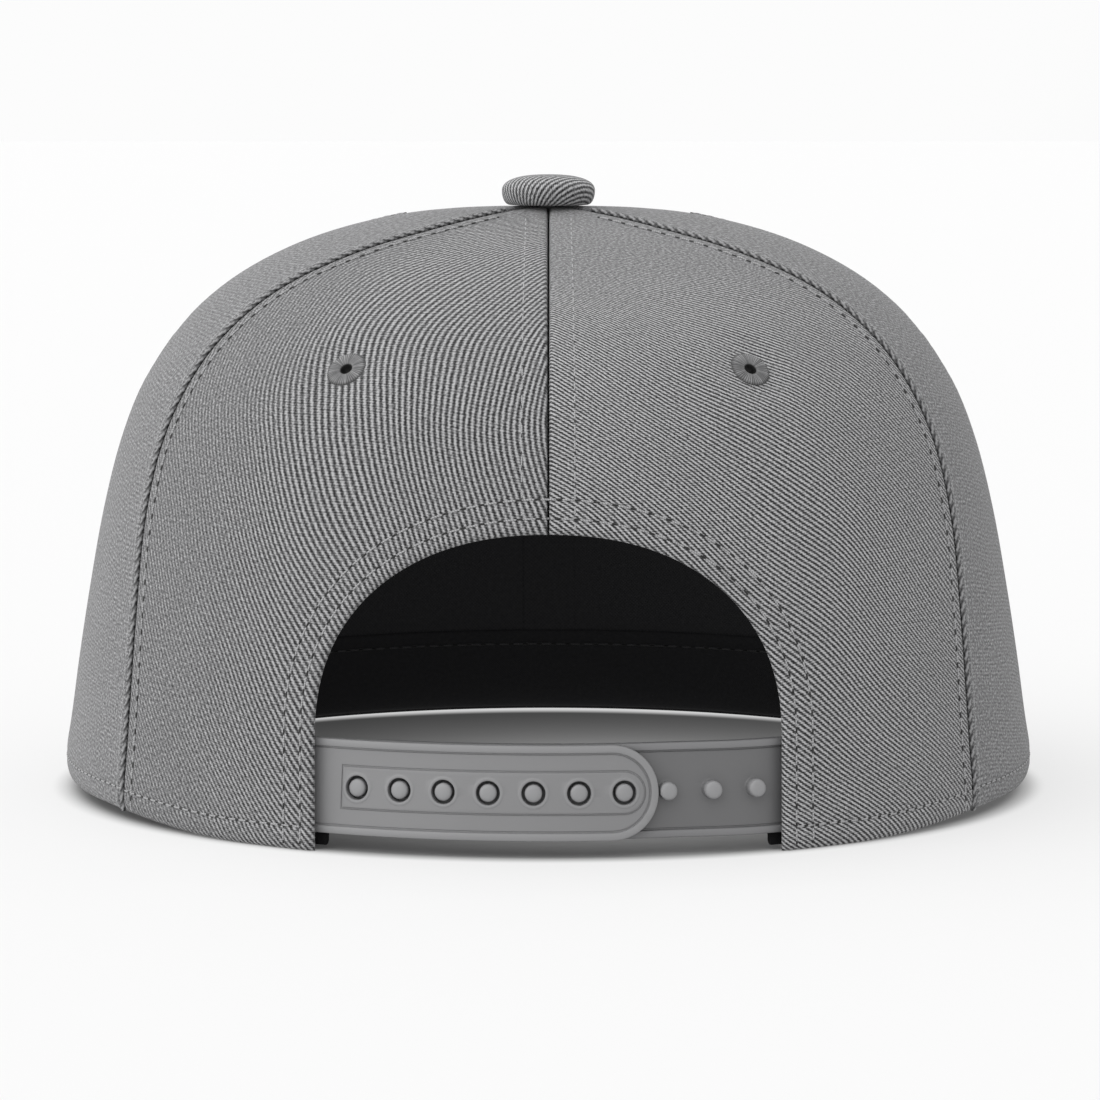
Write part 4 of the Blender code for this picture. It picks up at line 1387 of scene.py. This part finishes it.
register(stud_strap, "snap_strap_with_studs")

# %% [markdown]
# ## Inside: lining, sweatband and tapes
#
# The two front gores have a stiff black lining, a black sweatband runs inside the rim from
# one leg of the opening round to the other, and black tape covers the raw seams. They stay
# dark in the photograph, but they are what one sees when the cap is turned over.

# %% Black cloths
def black_cloth(name, dark, light, weave_mm, roughness):
    """Plain woven black cotton: it swallows most light, and only a grazing view shows threads."""
    material, tree, shader = start_material(name, {"Roughness": roughness, "Specular IOR Level": 0.2})
    flat = uv_map(tree, "cloth_mm")
    waves = [
        calculate(tree, "SINE", calculate(tree, "MULTIPLY", value, 2.0 * math.pi / weave_mm))
        for value in two_axes(tree, flat)
    ]
    weave = calculate(tree, "MULTIPLY_ADD", calculate(tree, "MULTIPLY", *waves), 0.5, 0.5)
    mixed = calculate(
        tree, "MULTIPLY_ADD", noise(tree, flat, 1.2, 2.0), 0.6, calculate(tree, "MULTIPLY", weave, 0.5),
    )
    shades = ramp(tree, mixed, ((0.1, colour(dark)), (0.9, colour(light))))
    tree.links.new(shades, shader.inputs["Base Color"])
    emboss(tree, shader, weave, 0.4, 0.1 * MM)
    return material


LINING_CLOTH = black_cloth("black_cotton_buckram_lining", "19191a", "262627", 0.7, 0.95)
BAND_CLOTH = black_cloth("black_brushed_sweatband", "141415", "1e1e1f", 0.5, 0.9)
TAPE_CLOTH = black_cloth("black_woven_seam_tape", "181819", "252526", 0.8, 0.9)


def strip(name, azimuths, places, depth, thickness, cloth):
    """A sheet inside the crown, at a depth, over a grid of azimuths and places."""
    face, way = outer_face(azimuths, places), outward(azimuths, places)
    run_up = np.interp(places, PLACES, PATTERNS[1].length)
    flat = np.stack([azimuths * CROWN_HALF_WIDTH, run_up], axis=-1)
    inner = face - way * (depth + thickness * np.ones(places.shape))[..., None]
    return thick_sheet(name, face - way * depth, inner, cloth, flat)


# %% Front lining
FRONT_GAP = FRONT_CLOTH + CLEARANCE
LINING_THICKNESS = 1.0 * MM
LINING_GRID = (72, 66)
start = FRONT_SEAM_AZIMUTH + 0.003
across, up = np.meshgrid(
    np.linspace(start, 2.0 * math.pi - start, LINING_GRID[0]),
    np.linspace(0.0, TOP_PLACE, LINING_GRID[1]),
)
lining = strip("front_lining_cloth", across, up, FRONT_GAP, LINING_THICKNESS, LINING_CLOTH)
for side, mirror in LEFT_AND_RIGHT:
    punch(lining, "front", mirror)
register(lining, "front_lining")

# %% Sweatband
BAND_FOOT = 0.6 * MM
BAND_TOP = 17.0 * MM
BAND_THICKNESS = 1.2 * MM
BAND_SHOWING = 1.8 * MM
OVER_STRAP = SIDE_CLOTH + STRAP_THICKNESS + 2.0 * CLEARANCE
PLAIN_DEPTH = max(FRONT_GAP + LINING_THICKNESS + CLEARANCE, SIDE_CLOTH + CLEARANCE)
BAND_COLUMNS = 220
# The band puckers a little above its stitches, so many times round the head
PUCKER = 0.12 * MM
PUCKERS = 46.0
# Share of the height, and how much of the thickness is left there on the inner face
BAND_ROW_SHARE = 0.815
BAND_SECTION = (
    (0.0, 0.45), (0.012, 0.75), (0.04, 0.95), (0.12, 1.0), (0.30, 1.05), (0.50, 1.0),
    (0.68, 0.95), (0.78, 0.80), (BAND_ROW_SHARE, 0.62), (0.85, 0.80), (0.90, 1.0), (0.95, 1.0),
    (0.985, 0.75), (1.0, 0.45),
)


def band_depth(azimuth):
    """Depth of the sweatband's outer face, which makes room for the strap roots."""
    from_back = np.minimum(azimuth, 2.0 * math.pi - azimuth) * STRAP_RADIUS
    root = STRAP_LEG + STRAP_TAB
    past = smooth_step(from_back, root + STRAP_THICKNESS, root + 2.0 * STRAP_TAB)
    return OVER_STRAP + past * (PLAIN_DEPTH - OVER_STRAP)


def band_points(azimuth, height, depth):
    """Points of the sweatband at a height and a depth, level with the rim's own rise."""
    return in_room(azimuth, crown_reach(azimuth, place_at(height)) - depth, lifted(height, azimuth))


band_end = float(azimuth_of(OPENING_HALF_WIDTH - BAND_SHOWING, 0.0)) * CROWN_BACK_REACH
band_start = band_end / (CROWN_BACK_REACH - OVER_STRAP) * 1.005
shares = np.array(BAND_SECTION)
across, row = np.meshgrid(
    np.linspace(band_start, 2.0 * math.pi - band_start, BAND_COLUMNS), np.arange(len(shares)),
)
height = BAND_FOOT + shares[row, 0] * (BAND_TOP - BAND_FOOT)
depth = band_depth(across)
ripple = PUCKER * np.sin(across * PUCKERS) * (shares[row, 0] > 0.7)
inner_depth = depth + BAND_THICKNESS * shares[row, 1] + ripple * (shares[row, 0] < 0.99)
flat = np.stack([across * CROWN_HALF_WIDTH, height], axis=-1)
sweatband = thick_sheet(
    "sweatband_cloth", band_points(across, height, depth), band_points(across, height, inner_depth),
    BAND_CLOTH, flat,
)
register(sweatband, "sweatband")
sewn = np.linspace(band_start + 0.01, 2.0 * math.pi - band_start - 0.01, 1500)
sewn_height = np.full(sewn.shape, BAND_FOOT + BAND_ROW_SHARE * (BAND_TOP - BAND_FOOT))
sewn_path = band_points(sewn, sewn_height, band_depth(sewn) + 0.66 * BAND_THICKNESS)
sewn_ways = np.stack([-np.sin(sewn), -np.cos(sewn), np.zeros_like(sewn)], axis=-1)
sew("stitching_sweatband", [(sewn_path, sewn_ways, SEAM_PITCH_MM)], BLACK_THREAD)

# %% Seam tapes
TAPE_HALF = 5.5 * MM
TAPE_THICKNESS = 0.5 * MM
TAPE_GAP = 0.08 * MM
TAPE_PLACES = 60
# Shares of the tape's half width. A row of stitches sinks in at one of them, on each side.
TAPE_SHARES = np.array([-1.0, -0.97, -0.9, -0.78, -0.5, 0.0, 0.5, 0.78, 0.9, 0.97, 1.0])
TAPE_ROW = 0.78
TAPE_SUNK = 0.12 * MM
BARE_DEPTH = SIDE_CLOTH + TAPE_GAP
LINED_DEPTH = FRONT_GAP + LINING_THICKNESS + TAPE_GAP
BEHIND_BAND = BAND_TOP - 4.0 * MM
# Name, side, seam, depth under the outer face and height of the lower end
TAPES = (
    ("centre_back", 1.0, 0, BARE_DEPTH, OPENING_HEIGHT + 1.5 * MM),
    ("back_left", 1.0, 1, BARE_DEPTH, BEHIND_BAND),
    ("back_right", -1.0, 1, BARE_DEPTH, BEHIND_BAND),
    ("front_left", 1.0, 2, LINED_DEPTH, BEHIND_BAND),
    ("front_right", -1.0, 2, LINED_DEPTH, BEHIND_BAND),
    ("centre_front", 1.0, 3, LINED_DEPTH, BEHIND_BAND),
)
crowned = TAPE_THICKNESS * (0.55 + 0.45 * np.sqrt(1.0 - TAPE_SHARES**2))
crowned -= TAPE_SUNK * (np.abs(TAPE_SHARES) == TAPE_ROW)
for word, mirror, seam, depth, foot in TAPES:
    place = np.linspace(float(place_at(foot)), TOP_PLACE - 0.9, TAPE_PLACES)
    middle = seam_azimuth(seam, place) * mirror
    half = np.minimum(TAPE_HALF / crown_reach(middle, place), 0.45)
    azimuths = middle[:, None] + half[:, None] * TAPE_SHARES
    places = np.repeat(place[:, None], len(TAPE_SHARES), axis=1)
    register(strip("seam_tape_" + word, azimuths, places, depth, crowned, TAPE_CLOTH))

# %% Binding inside the arch
BINDING_MM = (0.9, 1.1, 1.6, 2.6, 5.0, 7.6, 8.6, 9.1, 9.3)
BINDING_POINTS = 110
bound = on_line(ARCH, np.linspace(0.0, 1.0 - BAND_TOP / (2.0 * OPENING_HEIGHT), BINDING_POINTS))
grid = np.stack([beside(bound, distance * MM) for distance in BINDING_MM])
grid[..., 0] = np.maximum(grid[..., 0], ARCH[0, 0])
face, way, _, _ = lay(0, grid.reshape(-1, 2))
bulge = np.sin(np.linspace(0.0, math.pi, len(BINDING_MM)))[:, None] * np.ones(BINDING_POINTS)
near = (face - way * BARE_DEPTH).reshape(*grid.shape[:2], 3)
far = face - way * (SIDE_CLOTH + TAPE_THICKNESS * (0.6 + 0.4 * bulge)).reshape(-1, 1)
far = far.reshape(near.shape)
for side, mirror in LEFT_AND_RIGHT:
    sheet = near * flip(mirror), far * flip(mirror)
    register(thick_sheet("arch_binding_" + side, *sheet, TAPE_CLOTH, grid))

# %% [markdown]
# ## Visor
#
# The flat visor is a stiff board between two layers of twill, held by eight rows of stitches
# that follow its edge. It doesn't show in the photograph, so its outline is that of the frame.
# It is a thick sheet again: near its outer edge the two faces close in a half circle.

# %% Visor outline
VISOR_HALF_WIDTH = 86.5 * MM
VISOR_THICKNESS = 3.2 * MM
VISOR_CAMBER = 3.0 * MM
VISOR_TIP_AZIMUTH = math.radians(117.0)
VISOR_ROUNDNESS = 2.25
VISOR_REACH = AXIS_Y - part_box("visor")[0].y - CROWN_FRONT_REACH
VISOR_ROWS = 8
VISOR_ROW_GAP = 6.0 * MM
VISOR_FIRST_ROW = 4.0 * MM
VISOR_SUNK = 0.12 * MM
VISOR_COLUMNS = 151


def visor_edges(share):
    """Inner and outer edge of the visor in plan, from the right tip at -1 to the left at 1."""
    azimuth = math.pi - share * (math.pi - VISOR_TIP_AZIMUTH)
    inner = outer_face(azimuth, 0.0)[..., :2] - [0.0, AXIS_Y]
    inner = inner + unit(inner) * CLEARANCE
    tip_y = crown_reach(VISOR_TIP_AZIMUTH, 0.0) * math.cos(VISOR_TIP_AZIMUTH)
    turn = 0.5 * math.pi * share
    power = 2.0 / VISOR_ROUNDNESS
    length = CROWN_FRONT_REACH + VISOR_REACH + tip_y
    outer = np.stack([VISOR_HALF_WIDTH * np.copysign(np.abs(np.sin(turn)) ** power, share),
                      tip_y - length * np.abs(np.cos(turn)) ** power], axis=-1)
    drawn = 0.9 * smooth_step(np.abs(share), 0.70, 1.0)[..., None]
    return inner, outer * (1.0 - drawn) + inner * drawn


def visor_grid(share, back_mm):
    """Points at distances back from the outer edge, and at the inner edge, with their height."""
    inner, outer = visor_edges(share)
    depth = np.linalg.norm(inner - outer, axis=-1)
    fit = np.minimum(1.0, 0.95 * depth / (back_mm[-1] * MM))
    steps = np.array(back_mm)[:, None] * MM * fit / depth
    points = outer[None] + (inner - outer)[None] * steps[..., None]
    points = np.concatenate((points, inner[None]))
    arch = VISOR_CAMBER * (1.0 - (points[..., 0] / VISOR_HALF_WIDTH) ** 2)
    return points + [0.0, AXIS_Y], arch


# %% Visor
EDGE_RADIUS_MM = 1.6
rows_mm = (VISOR_FIRST_ROW + VISOR_ROW_GAP * np.arange(VISOR_ROWS)) / MM
back_mm = np.concatenate((
    [0.0, 0.06, 0.2, 0.45, 0.8, 1.2, 1.6, 2.4, 3.2],
    (rows_mm[:, None] + [-0.5, 0.0, 0.5, 2.9]).reshape(-1),
))
share = np.sin(np.linspace(-0.5 * math.pi, 0.5 * math.pi, VISOR_COLUMNS))
plan, arch = visor_grid(share, back_mm)
gone = np.clip(1.0 - back_mm / EDGE_RADIUS_MM, 0.0, 1.0)
half = 0.5 * VISOR_THICKNESS * np.append(np.sqrt(1.0 - gone**2), 1.0)
from_row = np.abs(back_mm[:, None] - rows_mm).min(axis=1)
sunk = np.append(VISOR_SUNK * (from_row < 0.1), 0.0)
middle = arch + 0.5 * VISOR_THICKNESS
upper = np.concatenate((plan, (middle + (half - sunk)[:, None])[..., None]), axis=-1)
lower = np.concatenate((plan, (middle - (half - sunk)[:, None])[..., None]), axis=-1)
# The cloth is pulled round the edge, so its pattern goes on past the outline by the arc
inner, outer = visor_edges(share)
arc_mm = np.append(EDGE_RADIUS_MM * (np.arcsin(gone) - gone), 0.0)
pattern = plan + unit(outer - inner)[None] * arc_mm[:, None, None] * MM
VISOR_TWILL = twill_material("cotton_twill_visor", 45.0, strength=0.9)
visor = thick_sheet(
    "covered_visor", upper, lower, VISOR_TWILL, pattern, ribbed=np.full(arch.shape, 0.9),
)
register(visor, "visor")

# %% Rows on the visor
VISOR_PITCH_MM = 3.4
visor_rows = []
inner, outer = visor_edges(np.linspace(-0.97, 0.97, 900))
depth = np.linalg.norm(inner - outer, axis=-1)
for distance_mm in rows_mm:
    for side in (1.0, -1.0):
        inside = depth > (distance_mm + 1.5) * MM
        step = (distance_mm * MM / depth)[inside, None]
        flat = outer[inside] + (inner - outer)[inside] * step
        arch = VISOR_CAMBER * (1.0 - (flat[:, 0] / VISOR_HALF_WIDTH) ** 2)
        level = arch + 0.5 * VISOR_THICKNESS + side * (0.5 * VISOR_THICKNESS - 0.1 * MM)
        path = np.concatenate((flat + [0.0, AXIS_Y], level[:, None]), axis=1)
        visor_rows.append((path, np.tile([0.0, 0.0, side], (len(path), 1)), VISOR_PITCH_MM))
sew("stitching_visor", visor_rows, GREY_THREAD)

# %% [markdown]
# ## Studio
#
# The photograph was taken from behind, from a little above the rim, against white paper in
# soft light. A white floor and a bright world give that, and the world is brighter towards a
# window on the upper left, which gives the crown its gentle shading. The camera stands
# 0.89 m behind the crown's axis.

# %% Floor
# White paper that glows as painted light outside the crown: the glow keeps the shadows round
# the cap short and pale, and it stops where the crown stands, so that the inside stays dim
PAPER_WHITE = colour("8d8d8d")
PAINTED_FLOOR_GLOW = 0.58
PAINTED_GLOW_STARTS = 88.0 * MM
PAINTED_GLOW_FULL = 95.0 * MM
paper, paper_tree, paper_shader = start_material("white_background_paper", {
    "Base Color": PAPER_WHITE, "Roughness": 0.95, "Specular IOR Level": 0.1, "Emission Color": WHITE,
})
spot = add(paper_tree, "ShaderNodeTexCoord").outputs["Object"]
reach = add(
    paper_tree, "ShaderNodeVectorMath", {0: spot}, {1: (0.0, AXIS_Y, 0.0)}, operation="DISTANCE",
)
painted_glow = add(
    paper_tree, "ShaderNodeMapRange", {"Value": reach.outputs["Value"]},
    {"From Min": PAINTED_GLOW_STARTS, "From Max": PAINTED_GLOW_FULL, "To Max": PAINTED_FLOOR_GLOW},
    interpolation_type="SMOOTHSTEP",
)
paper_tree.links.new(painted_glow.outputs["Result"], paper_shader.inputs["Emission Strength"])
sweep = bmesh.new()
bmesh.ops.create_grid(sweep, x_segments=1, y_segments=1, size=6.0)
paper_floor = as_object("paper_floor", sweep)
paper_floor.data.materials.append(paper)

# %% Light
# How bright the room is level with the eye, and how much brighter and darker it gets
# towards and away from the big window, which stands high on the left
ROOM_LIGHT = 0.973
WINDOW_LIGHT = 1.1
WINDOW_WAY = (0.70, 0.22, 0.68)
world = bpy.data.worlds.new("soft_studio")
world.use_nodes = True
room = world.node_tree
way = add(room, "ShaderNodeTexCoord").outputs["Generated"]
facing = add(room, "ShaderNodeVectorMath", {0: way}, {1: WINDOW_WAY}, operation="DOT_PRODUCT")
shares = [
    add(room, "ShaderNodeMapRange", {"Value": facing.outputs["Value"]},
        {"From Min": sign * 0.28, "From Max": sign * 0.95}, interpolation_type="SMOOTHSTEP")
    for sign in (1.0, -1.0)
]
change = calculate(room, "SUBTRACT", *(share.outputs["Result"] for share in shares))
strength = calculate(room, "MULTIPLY_ADD", change, WINDOW_LIGHT, ROOM_LIGHT)
room.links.new(strength, room.nodes["Background"].inputs["Strength"])
room.nodes["Background"].inputs["Color"].default_value = WHITE
bpy.context.scene.world = world
bpy.context.scene.view_settings.view_transform = "Standard"

# A small square lamp under the crown, so that the inside can be seen through the opening
LAMP_PLACE = Vector((-0.014, AXIS_Y + 0.015, 0.058))
LAMP_TARGET = Vector((-0.014, AXIS_Y - 0.01, 0.0))
light = bpy.data.lights.new("inside_fill", "AREA")
light.size = 0.03
light.energy = 0.083
lamp = in_scene("inside_fill", light)
lamp.location = LAMP_PLACE
lamp.rotation_euler = (LAMP_TARGET - LAMP_PLACE).to_track_quat("-Z", "Y").to_euler()
lamp.visible_camera = False
lamp.visible_glossy = False

# %% Camera
CAMERA_BACK = 891.1 * MM
CAMERA_HEIGHT = 139.6 * MM
CAMERA_PITCH_DEG = 6.124
SENSOR_MM = 36.0
FOCAL_MM = 153.86
lens = bpy.data.cameras.new("camera")
lens.sensor_width = SENSOR_MM
lens.lens = FOCAL_MM
lens.clip_start = 0.05
camera = in_scene("camera", lens)
camera.location = (-0.0003, AXIS_Y + CAMERA_BACK, CAMERA_HEIGHT)
camera.rotation_euler = (math.radians(90.0 - CAMERA_PITCH_DEG), 0.0, math.pi)
bpy.context.scene.camera = camera
